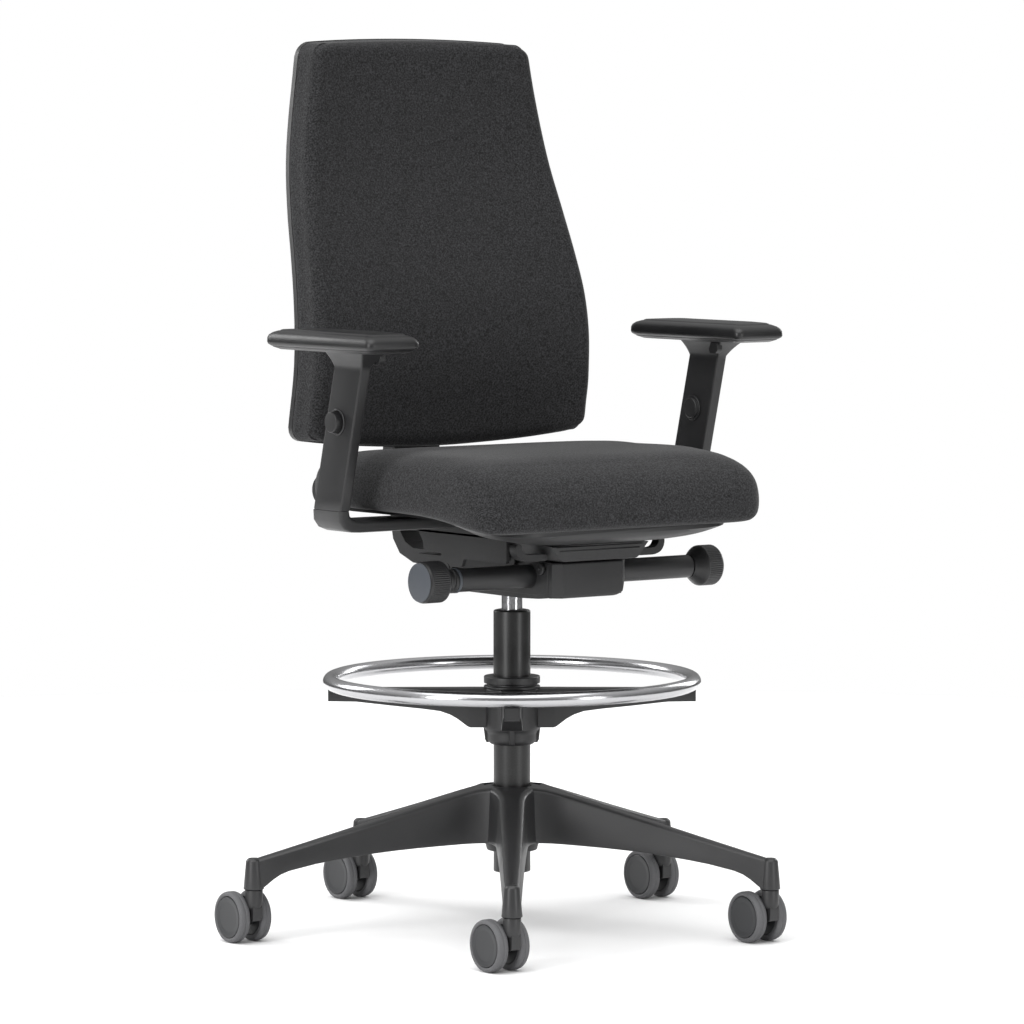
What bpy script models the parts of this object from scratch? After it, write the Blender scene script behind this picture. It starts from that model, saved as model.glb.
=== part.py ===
"""Drafting chair: five-arm base on casters, height-adjustable foot ring, gas lift, synchronous tilt
mechanism with a sliding seat, tilting and height-adjustable backrest, and adjustable armrests.

Every piece is drawn in column coordinates: the column's axis is x = y = 0, the floor is z = 0 and the
sitter faces -Y. The whole chair hangs on one empty, which centres its footprint on the world origin.
"""
import math

import bmesh
import bpy
import numpy as np
from mathutils import Matrix, Vector

MM = 0.001
GAP = 0.3 * MM                      # clearance between touching pieces

# Base and casters
ARM_REACH = 362 * MM                # column axis to caster stem
ARM_ANGLES = (-36, 36, 108, 180, -108)   # degrees from the front, toward +X
HUB_RADIUS, HUB_BOTTOM, HUB_TOP = 50 * MM, 124 * MM, 197 * MM
SOCKET_BOTTOM = 73.5 * MM
STEM_RADIUS = 5.5 * MM
WHEEL_RADIUS = 34.5 * MM
WHEEL_FACETS = 20
CASTER_TRAIL = 27 * MM              # stem axis to axle, toward the back
WHEEL_INNER, WHEEL_OUTER = 8.8 * MM, 25 * MM
HUB_CAP_RADIUS, HUB_CAP_FACE = 27.5 * MM, 22.7 * MM
STUB_RADIUS = 3.2 * MM

# Column and gas lift
TUBE_RADIUS, TUBE_WALL, TUBE_BOTTOM, TUBE_TOP = 25 * MM, 2.5 * MM, 82.5 * MM, 437.5 * MM
CYLINDER_RADIUS, CYLINDER_BOTTOM, CYLINDER_TOP = 14 * MM, 100 * MM, 499 * MM
ROD_RADIUS = 5 * MM

# Foot ring
RING_RADIUS, RING_TUBE, RING_HEIGHT = 245.5 * MM, 9.8 * MM, 341.8 * MM
SPOKE_TOP = RING_HEIGHT - RING_TUBE - GAP
SPOKE_ANGLES = (-36, 54, 144, -126)
LOCK_TOP = 348 * MM

# Tilt mechanism
CASE_HALF, CASE_WALL = 60 * MM, 8 * MM
CASE_FRONT, CASE_REAR, COVER_FRONT = -165 * MM, 100 * MM, -183 * MM
BAR_Y, BAR_Z, BAR_RADIUS = -123 * MM, 494.8 * MM, 15.5 * MM
LIFT_BAR_END, TENSION_BAR_END = 205 * MM, 180 * MM
SHAFT_RADIUS = 6 * MM
KNOB_END = 238 * MM
SEAT_PIVOT = (-85 * MM, 517 * MM)  # y, z
BACK_PIVOT = (55 * MM, 495 * MM)    # y, z
CARRIER_BOTTOM, CARRIER_TOP = 543 * MM, 554.7 * MM

# Seat
SEAT_RAIL = (30 * MM, 50 * MM)      # distances of each rail's flanks from the middle

# Backrest: height above floor -> middle of its thickness, and half width
BACK_LEVELS = (668, 700, 730, 757, 800, 860, 910, 970, 1040, 1110, 1150, 1203)
BACK_MIDDLES = (175, 169, 163, 160, 159, 166, 179, 198, 218, 228, 231, 234)
BACK_HALVES = (234, 234, 234, 233, 232, 229, 224, 217, 206, 194, 187, 179)
BACK_CROWN, BACK_SAG = 5 * MM, 11 * MM    # how far the top and bottom edges bow at the middle
BACK_CORNER = 22 * MM
BACK_HALF_THICKNESS = 30 * MM
BACK_SPLIT = 20 * MM                # cushion to shell, behind the middle
BACK_WRAP = 10 * MM                 # how far the edges curl forward
POST_FRONT, POST_REAR, POST_HALF, POST_TOP = 226 * MM, 244 * MM, 30 * MM, 800 * MM
BACK_KNOB = (235 * MM, 592 * MM)    # y, z

# Armrests
ARM_X = 294.5 * MM
ARM_LEAN, ARM_LEAN_Y, ARM_LEAN_Z = 0.26, -47.5 * MM, 765 * MM
SLEEVE_BOTTOM, SLEEVE_TOP = 585 * MM, 795.2 * MM
SLEEVE_HALF_X, SLEEVE_HALF_Y = 8 * MM, 33 * MM
UPRIGHT_HALF_X, UPRIGHT_HALF_Y, UPRIGHT_TOP = 4.5 * MM, 25 * MM, 745 * MM
LINK_BOTTOM, LINK_TOP, LINK_INNER = 555 * MM, 571 * MM, 62 * MM
BUTTON_RADIUS, COLLAR_RADIUS, BUTTON_Z = 14 * MM, 17.5 * MM, 702.5 * MM
BUTTON_BACK = 3 * MM                # button behind the sleeve's middle
PAD_X, PAD_Y = 301.5 * MM, -35 * MM

# The footprint runs from the front sockets' noses to the rear caster's wheels
FOOT_FRONT = -ARM_REACH * math.cos(math.radians(36)) - 14 * MM
FOOT_REAR = ARM_REACH + CASTER_TRAIL + WHEEL_RADIUS
COLUMN_Y = -(FOOT_FRONT + FOOT_REAR) / 2

FINISHES = {                        # base colour, roughness, metallic
    "base_black": ((0.045, 0.045, 0.047), 0.42, 0.0),
    "plastic_black": ((0.035, 0.035, 0.037), 0.5, 0.0),
    "plastic_grey": ((0.11, 0.115, 0.125), 0.5, 0.0),
    "powder_black": ((0.02, 0.02, 0.02), 0.6, 0.0),
    "tyre_grey": ((0.14, 0.14, 0.145), 0.6, 0.0),
    "chrome": ((0.75, 0.75, 0.76), 0.12, 1.0),
    "steel": ((0.45, 0.45, 0.46), 0.35, 1.0),
    "fabric": ((0.03, 0.03, 0.031), 0.9, 0.0),
    "pad_black": ((0.05, 0.05, 0.052), 0.6, 0.0),
}


def finish(name):
    """The Principled material of that name, made on first use."""
    material = bpy.data.materials.get(name)
    if material is None:
        colour, roughness, metallic = FINISHES[name]
        material = bpy.data.materials.new(name)
        material.use_nodes = True
        shader = material.node_tree.nodes["Principled BSDF"]
        shader.inputs["Base Color"].default_value = (*colour, 1.0)
        shader.inputs["Roughness"].default_value = roughness
        shader.inputs["Metallic"].default_value = metallic
    return material


class Body:
    """A rigid body: an empty on its joint's axis, which carries the body's pieces."""

    def __init__(self, name, pivot, parent=None):
        self.pivot = Vector(pivot)
        self.empty = bpy.data.objects.new("pivot_" + name, None)
        self.empty.empty_display_size = 0.03
        bpy.context.scene.collection.objects.link(self.empty)
        if parent is None:
            self.empty.location = self.pivot + Vector((0, COLUMN_Y, 0))
        else:
            self.empty.parent = parent.empty
            self.empty.location = self.pivot - parent.pivot

    def hang(self, name, shape, place=Matrix()):
        shape.transform(Matrix.Translation(-self.pivot) @ place)
        mesh = bpy.data.meshes.new(name)
        shape.to_mesh(mesh)
        shape.free()
        obj = bpy.data.objects.new(name, mesh)
        obj.parent = self.empty
        bpy.context.scene.collection.objects.link(obj)
        return obj

    def piece(self, name, shape, material, place=Matrix()):
        """A finished sub-part, drawn in column coordinates and moved by place."""
        obj = self.hang(name, shape, place)
        obj.data.materials.append(finish(material))
        obj.data.shade_smooth()
        obj.data.set_sharp_from_angle(angle=math.radians(32))
        return obj

    def change(self, obj, operation, shape, place=Matrix()):
        """Adds shape to obj, or cuts it away, through a Boolean modifier."""
        tool = self.hang("tool_" + obj.name, shape, place)
        tool.hide_render = True
        tool.display_type = "WIRE"
        modifier = obj.modifiers.new(operation.lower(), "BOOLEAN")
        modifier.operation = operation
        modifier.solver = "EXACT"
        modifier.object = tool

    def add(self, obj, shape, place=Matrix()):
        self.change(obj, "UNION", shape, place)

    def cut(self, obj, shape, place=Matrix()):
        self.change(obj, "DIFFERENCE", shape, place)


def loft(sections):
    """A closed skin through loops of equal length, capped at both ends."""
    bm = bmesh.new()
    rings = [[bm.verts.new(point) for point in section] for section in sections]
    for ring, following in zip(rings, rings[1:]):
        for i in range(len(ring)):
            j = (i + 1) % len(ring)
            bm.faces.new((ring[i], ring[j], following[j], following[i]))
    bm.faces.new(rings[0])
    bm.faces.new(rings[-1])
    bmesh.ops.recalc_face_normals(bm, faces=bm.faces)
    return bm


def prism(outline, axis, low, high):
    """A 2-D outline pulled along X, Y or Z; its coordinates are the other two axes, in order."""
    def at(depth):
        return [point[:axis] + (depth,) + point[axis:] for point in map(tuple, outline)]
    return loft([at(low), at(high)])


def block(x, y, z, bevel=0.0, segments=1):
    """A box between (low, high) pairs, with its edges bevelled."""
    bm = prism([(x[0], y[0]), (x[1], y[0]), (x[1], y[1]), (x[0], y[1])], 2, *z)
    if bevel:
        bmesh.ops.bevel(bm, geom=bm.edges[:], offset=bevel, segments=segments, profile=0.5,
                        affect="EDGES", material=-1)
    return bm


def turned(profile, facets=24):
    """A (radius, height) profile spun about Z; it is a ring unless the profile touches the axis."""
    bm = bmesh.new()
    verts = [bm.verts.new((radius, 0, height)) for radius, height in profile]
    ends = verts[1:] + verts[:1] if min(profile)[0] > 0 else verts[1:]
    edges = [bm.edges.new(pair) for pair in zip(verts, ends)]
    bmesh.ops.spin(bm, geom=verts + edges, cent=(0, 0, 0), axis=(0, 0, 1), angle=math.tau,
                   steps=facets, use_duplicate=False)
    bmesh.ops.remove_doubles(bm, verts=bm.verts, dist=0.01 * MM)
    bmesh.ops.recalc_face_normals(bm, faces=bm.faces)
    return bm


def rod(radius, low, high, facets=24):
    """A plain cylinder along Z."""
    return turned([(0, low), (radius, low), (radius, high), (0, high)], facets)


def tube(radius, bore, low, high, facets=24):
    """A hollow cylinder along Z."""
    return turned([(radius, low), (radius, high), (bore, high), (bore, low)], facets)


def rounded(half_a, half_b, radius, steps=2):
    """The outline of a rounded rectangle about the origin."""
    points = []
    for corner, (a, b) in enumerate(((1, 1), (-1, 1), (-1, -1), (1, -1))):
        for step in range(steps + 1):
            angle = math.pi / 2 * (corner + step / steps)
            points.append((a * (half_a - radius) + radius * math.cos(angle),
                           b * (half_b - radius) + radius * math.sin(angle)))
    return points


def along_x(y, z, x=0.0, turn=0.0):
    """Lays something drawn about Z along +X through (y, z)."""
    return (Matrix.Translation((x, y, z)) @ Matrix.Rotation(math.pi / 2, 4, "Y")
            @ Matrix.Rotation(turn, 4, "Z"))


def toward_left(y, z):
    """Lays something drawn about Z along -X through (y, z)."""
    return Matrix.Translation((0, y, z)) @ Matrix.Rotation(-math.pi / 2, 4, "Y")


def radial(angle):
    """Turns something drawn along -Y to an angle from the front, toward +X."""
    return Matrix.Rotation(math.radians(angle), 4, "Z")


def clear_scene():
    for obj in list(bpy.data.objects):
        bpy.data.objects.remove(obj, do_unlink=True)


# Base, casters and column

def base_arm():
    """One arm along -Y: a tapered beam, wider at its foot, which drops into the caster socket."""
    reaches = (40, 50, 110, 170, 227, 285, 325, 345, 362)
    sections = []
    for reach in reaches:
        top = np.interp(reach, (50, 227, 362), (197.5, 150, 114)) * MM
        bottom = np.interp(reach, (50, 227, 300, 335, 350), (128, 113, 101, 90, 76)) * MM
        foot = np.interp(reach, (50, 362), (22, 12)) * MM
        crown = np.interp(reach, (50, 362), (18, 10)) * MM
        y = -reach * MM
        half = [(foot, bottom), (crown, top - 4 * MM), (crown - 4 * MM, top)]
        right = [(x, y, z) for x, z in half]
        left = [(-x, y, z) for x, z in reversed(half)]
        sections.append(right + left)
    return loft(sections)


def build_base():
    base = Body("base", (0, 0, 0))
    hub = turned([(31 * MM, HUB_TOP + 1.5 * MM), (HUB_RADIUS, HUB_TOP - 5 * MM),
                  (HUB_RADIUS + 4 * MM, HUB_BOTTOM + 6 * MM), (HUB_RADIUS, HUB_BOTTOM),
                  (TUBE_RADIUS + GAP, HUB_BOTTOM), (TUBE_RADIUS + GAP, HUB_TOP + 1.5 * MM)])
    star = base.piece("base_star", hub, "base_black")
    socket = [(0, SOCKET_BOTTOM), (14 * MM, SOCKET_BOTTOM), (13.5 * MM, 85 * MM), (10 * MM, 114 * MM),
              (0, 114 * MM)]
    for angle in ARM_ANGLES:
        base.add(star, base_arm(), radial(angle))
        base.add(star, turned(socket, 14), radial(angle) @ Matrix.Translation((0, -ARM_REACH, 0)))
    base.cut(star, rod(TUBE_RADIUS + GAP, 0.1, 0.22))
    for angle in ARM_ANGLES:
        base.cut(star, rod(STEM_RADIUS + GAP, 0.06, 0.105, 12),
                 radial(angle) @ Matrix.Translation((0, -ARM_REACH, 0)))
    bore = TUBE_RADIUS - TUBE_WALL
    plate_top = TUBE_BOTTOM + 3 * MM
    base.piece("column_tube", turned([
        (TUBE_RADIUS - MM, TUBE_BOTTOM), (TUBE_RADIUS, TUBE_BOTTOM + MM), (TUBE_RADIUS, TUBE_TOP - MM),
        (TUBE_RADIUS - MM, TUBE_TOP), (bore, TUBE_TOP), (bore, plate_top),
        (ROD_RADIUS + GAP, plate_top), (ROD_RADIUS + GAP, TUBE_BOTTOM)]), "powder_black")
    base.piece("guide_bush", tube(bore - GAP, CYLINDER_RADIUS + GAP, 371 * MM, TUBE_TOP - 0.5 * MM),
               "plastic_black")
    return base


def build_gas_lift(base):
    """The swivelling piston rod and, sliding on it, the body that carries the mechanism."""
    swivel = Body("swivel", (0, 0, TUBE_BOTTOM), base)
    shoulder = 91 * MM
    swivel.piece("piston_rod", turned([
        (0, 77 * MM), (ROD_RADIUS, 77 * MM), (ROD_RADIUS, shoulder), (8 * MM, shoulder),
        (8 * MM, 94 * MM), (ROD_RADIUS, 94 * MM), (ROD_RADIUS, 450 * MM), (0, 450 * MM)], 16), "steel")
    swivel.piece("thrust_bearing", tube(13 * MM, ROD_RADIUS + GAP, TUBE_BOTTOM + 3.3 * MM,
                                        shoulder - GAP, 16), "steel")
    swivel.piece("rod_clip", tube(9 * MM, ROD_RADIUS + GAP, 78.5 * MM, TUBE_BOTTOM - GAP, 16), "steel")
    lift = Body("lift", (0, 0, TUBE_TOP), swivel)
    lift.piece("gas_cylinder", turned([
        (CYLINDER_RADIUS, CYLINDER_BOTTOM), (CYLINDER_RADIUS, 492 * MM), (12 * MM, CYLINDER_TOP),
        (0, CYLINDER_TOP), (0, 455 * MM), (ROD_RADIUS + GAP, 455 * MM),
        (ROD_RADIUS + GAP, CYLINDER_BOTTOM), (CYLINDER_RADIUS, CYLINDER_BOTTOM)]), "chrome")
    return lift


def caster_web():
    """The flat middle of a caster's housing, between its two wheels, seen along X."""
    outline = [(-10, 29), (-10, 56), (-4, 62), (8, 66), (27, 62), (42, 54), (50, 42), (50, 30),
               (38, 22), (16, 22), (9, 29)]
    return prism([(y * MM, z * MM) for y, z in outline], 0, -7.8 * MM, 7.8 * MM)


def build_caster(number, angle, base):
    stem = Vector((0, -ARM_REACH, 0))
    stem.rotate(radial(angle))
    at_stem = Matrix.Translation(stem)
    swivel = Body(f"caster_{number}", stem + Vector((0, 0, SOCKET_BOTTOM)), base)
    swivel.piece(f"caster_stem_{number}", rod(STEM_RADIUS, 51 * MM, 104 * MM, 12), "steel", at_stem)
    housing = swivel.piece(f"caster_housing_{number}", turned([
        (0, 45 * MM), (8 * MM, 47 * MM), (12 * MM, 54 * MM), (12 * MM, SOCKET_BOTTOM - GAP),
        (0, SOCKET_BOTTOM - GAP)], 14), "base_black", at_stem)
    swivel.add(housing, caster_web(), at_stem)
    axle_y, axle_z = stem.y + CASTER_TRAIL, WHEEL_RADIUS
    for side in (-1, 1):
        wheel_room = rod(WHEEL_RADIUS + 1.2 * MM, WHEEL_INNER - 0.8 * MM, 40 * MM, 16)
        lay = along_x(axle_y, axle_z, stem.x) if side > 0 else \
            Matrix.Translation((stem.x, 0, 0)) @ toward_left(axle_y, axle_z)
        swivel.cut(housing, wheel_room, lay)
    swivel.add(housing, rod(STUB_RADIUS, -21.5 * MM, 21.5 * MM, 8), along_x(axle_y, axle_z, stem.x))
    swivel.cut(housing, rod(STEM_RADIUS + GAP, 50.5 * MM, 80 * MM, 12), at_stem)

    tread = WHEEL_RADIUS / math.cos(math.pi / WHEEL_FACETS)   # the facets, not their corners, touch down
    profile = [(0, HUB_CAP_FACE), (HUB_CAP_RADIUS, HUB_CAP_FACE), (HUB_CAP_RADIUS + MM, WHEEL_OUTER),
               (tread - 2 * MM, WHEEL_OUTER - MM), (tread, 20 * MM), (tread, 11.5 * MM),
               (tread - 2 * MM, WHEEL_INNER), (STUB_RADIUS + GAP, WHEEL_INNER),
               (STUB_RADIUS + GAP, 21.8 * MM), (0, 21.8 * MM)]
    half_facet = math.pi / WHEEL_FACETS
    for side, label in ((-1, "right"), (1, "left")):
        wheel = Body(f"wheel_{label}_{number}", (stem.x, axle_y, axle_z), swivel)
        flip = Matrix.Identity(4) if side > 0 else Matrix.Rotation(math.pi, 4, "X")
        wheel.piece(f"wheel_{label}_{number}", turned(profile, WHEEL_FACETS), "tyre_grey",
                    along_x(axle_y, axle_z, stem.x, half_facet) @ flip)


# Foot ring

def spoke():
    """One spoke along -Y, flat on top and deep at the hub, with a rounded end."""
    sections = []
    for reach, bottom, half in ((30, 279, 15), (58, 279, 15), (75, 292, 13.5), (97.5, 301, 12.5),
                                (146, 306, 11.5), (210, 314, 11), (237.5, 314, 11), (244.5, 314, 9),
                                (248.5, 314, 4)):
        y, low, x = -reach * MM, bottom * MM, half * MM
        sections.append([(x, y, low), (x, y, SPOKE_TOP), (-x, y, SPOKE_TOP), (-x, y, low)])
    return loft(sections)


def build_foot_ring(base):
    ring_body = Body("foot_ring", (0, 0, RING_HEIGHT), base)
    bore = TUBE_RADIUS + GAP
    circle = [(RING_RADIUS + RING_TUBE * math.cos(a), RING_HEIGHT + RING_TUBE * math.sin(a))
              for a in np.linspace(-math.pi / 2, math.tau - math.pi / 2, 10, endpoint=False)]
    ring_body.piece("foot_ring", turned(circle, 48), "chrome")
    carrier = ring_body.piece("foot_ring_carrier", turned([
        (bore, 255.5 * MM), (28.5 * MM, 255.5 * MM), (33 * MM, 260 * MM), (34 * MM, 271 * MM),
        (38 * MM, 276 * MM), (38 * MM, SPOKE_TOP), (bore, SPOKE_TOP)]), "plastic_black")
    for angle in SPOKE_ANGLES:
        ring_body.add(carrier, spoke(), radial(angle))
    ring_body.cut(carrier, rod(bore, 0.25, 0.34))
    lock_body = Body("foot_ring_lock", (0, 0, SPOKE_TOP), ring_body)
    lock_body.piece("foot_ring_lock", turned([
        (bore, SPOKE_TOP + GAP), (38 * MM, SPOKE_TOP + GAP), (38 * MM, 335 * MM),
        (34 * MM, 335.5 * MM), (34 * MM, 338 * MM), (38 * MM, 338.5 * MM), (38 * MM, LOCK_TOP - MM),
        (37 * MM, LOCK_TOP), (bore, LOCK_TOP)]), "plastic_black")


# Tilt mechanism

def build_case(lift):
    """The cast case with its taper socket, front cover, cross bars, spring and pins."""
    outline = [(-165, 469), (-165, 515), (-112, 515), (-100, 528), (-30, 528), (100, 507), (100, 487),
               (70, 472), (35, 464.5), (-100, 464.5), (-140, 466)]
    case = lift.piece("mechanism_case", prism([(y * MM, z * MM) for y, z in outline], 0,
                                              -CASE_HALF, CASE_HALF), "plastic_black")
    inner = CASE_HALF - CASE_WALL
    lift.cut(case, block((-inner, inner), (CASE_FRONT + CASE_WALL, 40 * MM), (471 * MM, 540 * MM)))
    lift.add(case, rod(24 * MM, 461 * MM, 508 * MM, 20))
    lift.cut(case, rod(CYLINDER_RADIUS + GAP, 0.44, CYLINDER_TOP + GAP))
    for radius, (y, z), facets in ((BAR_RADIUS, (BAR_Y, BAR_Z), 20), (5 * MM, SEAT_PIVOT, 12),
                                   (6 * MM, BACK_PIVOT, 12)):
        lift.cut(case, rod(radius + GAP, -0.08, 0.08, facets), along_x(y, z))
    nose = [(-CASE_HALF, CASE_FRONT - GAP), (-CASE_HALF, COVER_FRONT + 11 * MM),
            (-CASE_HALF + 11 * MM, COVER_FRONT), (CASE_HALF - 11 * MM, COVER_FRONT),
            (CASE_HALF, COVER_FRONT + 11 * MM), (CASE_HALF, CASE_FRONT - GAP)]
    lift.piece("mechanism_cover", prism(nose, 2, 468 * MM, 515 * MM), "plastic_black")
    lift.piece("back_pivot_pin", rod(6 * MM, -69.5 * MM, 69.5 * MM, 12), "steel", along_x(*BACK_PIVOT))
    lift.piece("seat_pivot_pin", rod(5 * MM, -69 * MM, 69 * MM, 12), "steel", along_x(*SEAT_PIVOT))
    for name, lay, end in (("lift_bar", along_x(BAR_Y, BAR_Z), LIFT_BAR_END),
                           ("tension_bar", toward_left(BAR_Y, BAR_Z), TENSION_BAR_END)):
        lift.piece(name, tube(BAR_RADIUS, SHAFT_RADIUS + GAP, 51.5 * MM, end, 20),
                   "plastic_black", lay)
    lift.piece("tension_spring", coil(14 * MM, 2.5 * MM, 80 * MM, 5), "steel",
               Matrix.Translation((0, -115 * MM, 492 * MM)) @ Matrix.Rotation(-math.pi / 2, 4, "X"))


def coil(radius, wire, length, turns, per_turn=10, sides=5):
    """A coil spring along +Z."""
    sections = []
    for step in range(turns * per_turn + 1):
        angle = math.tau * step / per_turn
        out = Vector((math.cos(angle), math.sin(angle), 0))
        centre = out * radius + Vector((0, 0, length * step / (turns * per_turn)))
        sections.append([centre + out * wire * math.cos(a) + Vector((0, 0, wire * math.sin(a)))
                         for a in np.linspace(0, math.tau, sides, endpoint=False)])
    return loft(sections)


def build_knobs(lift):
    start = LIFT_BAR_END + GAP
    lift_knob = Body("lift_knob", (LIFT_BAR_END, BAR_Y, BAR_Z), lift)
    lift_knob.piece("lift_knob", turned([
        (0, 45 * MM), (SHAFT_RADIUS, 45 * MM), (SHAFT_RADIUS, start), (17 * MM, start),
        (19 * MM, 210 * MM), (26.5 * MM, 221 * MM), (27.5 * MM, 224 * MM), (27.5 * MM, 245 * MM),
        (25 * MM, 247 * MM), (0, 247 * MM)], 20), "plastic_black", along_x(BAR_Y, BAR_Z))
    start = TENSION_BAR_END + GAP
    tension_knob = Body("tension_knob", (-TENSION_BAR_END, BAR_Y, BAR_Z), lift)
    tension_knob.piece("tension_knob", turned([
        (0, 45 * MM), (SHAFT_RADIUS, 45 * MM), (SHAFT_RADIUS, start), (16.5 * MM, start),
        (16.5 * MM, 190 * MM), (14.5 * MM, 191 * MM), (14.5 * MM, 201 * MM), (25 * MM, 205 * MM),
        (27.5 * MM, 208 * MM), (27.5 * MM, 235 * MM), (26 * MM, KNOB_END), (0, KNOB_END)], 20),
        "plastic_black", toward_left(BAR_Y, BAR_Z))
    tension_knob.piece("tension_knob_cap", rod(25.5 * MM, KNOB_END + GAP, KNOB_END + 1.3 * MM, 20),
                       "plastic_grey", toward_left(BAR_Y, BAR_Z))


# Seat

def seat_floor(y):
    """Underside of the cushion, which dips toward the front edge."""
    stations = ((-258, 561), (-230, 563), (-150, 575), (-60, 579))
    return np.interp(y, *[[value * MM for value in column] for column in zip(*stations)])


def cushion_section(y, half, floor, top):
    """A soft loop across the seat: flat below, rounded at the sides, slightly crowned on top."""
    height = top - floor
    right = [(half - 25 * MM, floor), (half - 6 * MM, floor + 0.2 * height), (half, floor + 0.5 * height),
             (half - 7 * MM, floor + 0.78 * height), (half - 30 * MM, floor + 0.93 * height),
             (0.45 * half, top)]
    loop = right + [(-x, z) for x, z in reversed(right)]
    return [(x, y, z) for x, z in loop]


def seat_cushion():
    stations = ((-266, 218, 622), (-258, 230, 638), (-230, 238, 651), (-190, 241, 657), (-150, 242, 658),
                (-60, 242, 658), (90, 238, 653), (140, 231, 648), (170, 216, 638), (180, 198, 622))
    sections = []
    for y, half, top in stations:
        end_lift = 12 * MM if y in (-266, 180) else 0
        sections.append(cushion_section(y * MM, half * MM, seat_floor(y * MM) + end_lift, top * MM))
    return loft(sections)


def seat_pan():
    """A plastic pan under the cushion: a shallow dish with a deeper front lip."""
    sections = []
    for y, half, depth in ((-246, 150, 9), (-230, 185, 20), (-200, 196, 27), (-160, 201, 31),
                           (-140, 203, 20), (-127, 205, 7), (0, 205, 7), (120, 200, 7), (160, 180, 6)):
        top = seat_floor(y * MM) - GAP
        loop = []
        for share in (-1, -0.85, -0.55, 0, 0.55, 0.85, 1):
            rise = share ** 4 * (depth - 5)
            loop.append((share * half * MM, y * MM, top - (depth - rise) * MM))
        loop += [(half * MM, y * MM, top), (-half * MM, y * MM, top)]
        sections.append(loop)
    return loft(sections)


def front_boss():
    """The carrier's nose under the pan, which narrows downward."""
    sections = []
    for y, top in ((-198, 539.5), (-128, 539.5), (-124, 546), (-112, 546)):
        sections.append([(x * MM, y * MM, z * MM) for x, z in ((-62.5, 518), (62.5, 518), (81, top),
                                                               (-81, top))])
    return loft(sections)


def side_wall(side):
    """A stepped cheek that hangs from one edge of the carrier."""
    outline = [(-117, 512), (-20, 512), (-14, 500), (12, 500), (30, 511), (46, 518), (73, 518), (88, 546),
               (-117, 546)]
    near, far = sorted((side * 89 * MM, side * 94 * MM))
    return prism([(y * MM, z * MM) for y, z in outline], 0, near, far)


def pan_hook(side):
    """A bent strip from the boss up to the pan."""
    outline = [(70, 519), (108, 519), (118, 524), (122.5, 532), (122.5, 542.5), (113.5, 542.5),
               (113, 534), (106, 528), (70, 528)]
    return prism([(side * x * MM, z * MM) for x, z in outline], 1, -178 * MM, -163 * MM)


def build_seat(lift):
    tilt = Body("seat_tilt", (0, *SEAT_PIVOT), lift)
    carrier = tilt.piece("seat_carrier", block((-95 * MM, 95 * MM), (-125 * MM, 120 * MM),
                                               (CARRIER_BOTTOM, CARRIER_TOP)), "plastic_black")
    pivot_y, pivot_z = SEAT_PIVOT
    ear_in, ear_out = CASE_HALF + 0.6 * MM, 68 * MM
    for side in (-1, 1):
        near, far = sorted((side * ear_in, side * ear_out))
        tilt.add(carrier, prism([(pivot_y - 11 * MM, pivot_z - 8 * MM), (pivot_y, pivot_z - 12 * MM),
                                 (pivot_y + 11 * MM, pivot_z - 8 * MM), (pivot_y + 16 * MM, 0.545),
                                 (pivot_y - 11 * MM, 0.545)], 0, near, far))
    tilt.cut(carrier, rod(5 * MM + GAP, -0.08, 0.08, 12), along_x(*SEAT_PIVOT))
    tilt.add(carrier, front_boss())
    for side in (-1, 1):
        tilt.add(carrier, side_wall(side))
        tilt.add(carrier, pan_hook(side))

    slide = Body("seat_slide", (0, 0, CARRIER_TOP), tilt)
    pan = slide.piece("seat_pan", seat_pan(), "plastic_black")
    for side in (-1, 1):
        rail = sorted(side * flank for flank in SEAT_RAIL)
        slide.add(pan, block(rail, (-110 * MM, 100 * MM), (CARRIER_TOP + GAP, 574 * MM)))
    slide.piece("seat_cushion", seat_cushion(), "fabric")
    return tilt


# Backrest

def back_middle(z):
    return np.interp(z, [level * MM for level in BACK_LEVELS], [m * MM for m in BACK_MIDDLES])


def back_half(z):
    """Half width, drawn in at the rounded top and bottom corners."""
    half = np.interp(z, [level * MM for level in BACK_LEVELS], [h * MM for h in BACK_HALVES])
    reach = min(z - BACK_LEVELS[0] * MM, BACK_LEVELS[-1] * MM - z)
    if reach < BACK_CORNER:
        half -= BACK_CORNER - math.sqrt(BACK_CORNER ** 2 - (BACK_CORNER - reach) ** 2)
    return half


def back_panel(front, rear, soften=0.0):
    """A slab that follows the backrest's curve, between two depths; its front is softened inward."""
    low, high = BACK_LEVELS[0] * MM, BACK_LEVELS[-1] * MM
    ends = [0, 0.1, 0.35, 1.0]
    levels = [low + BACK_CORNER * share for share in ends]
    levels += [level * MM for level in BACK_LEVELS[2:-2]]
    levels += [high - BACK_CORNER * share for share in reversed(ends)]
    sections = []
    for z in levels:
        bow = np.interp(z, (low, low + 2 * BACK_CORNER, high - 2 * BACK_CORNER, high),
                        (-BACK_SAG, 0, 0, BACK_CROWN))
        loop = []
        for depth, half, shares in ((front, back_half(z) - soften, (-1, -0.6, 0, 0.6, 1)),
                                    (rear, back_half(z), (1, 0.6, 0, -0.6, -1))):
            for share in shares:
                loop.append((share * half, back_middle(z) + depth - BACK_WRAP * share ** 2,
                             z + bow * (1 - share ** 2)))
        sections.append(loop)
    return loft(sections)


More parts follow.
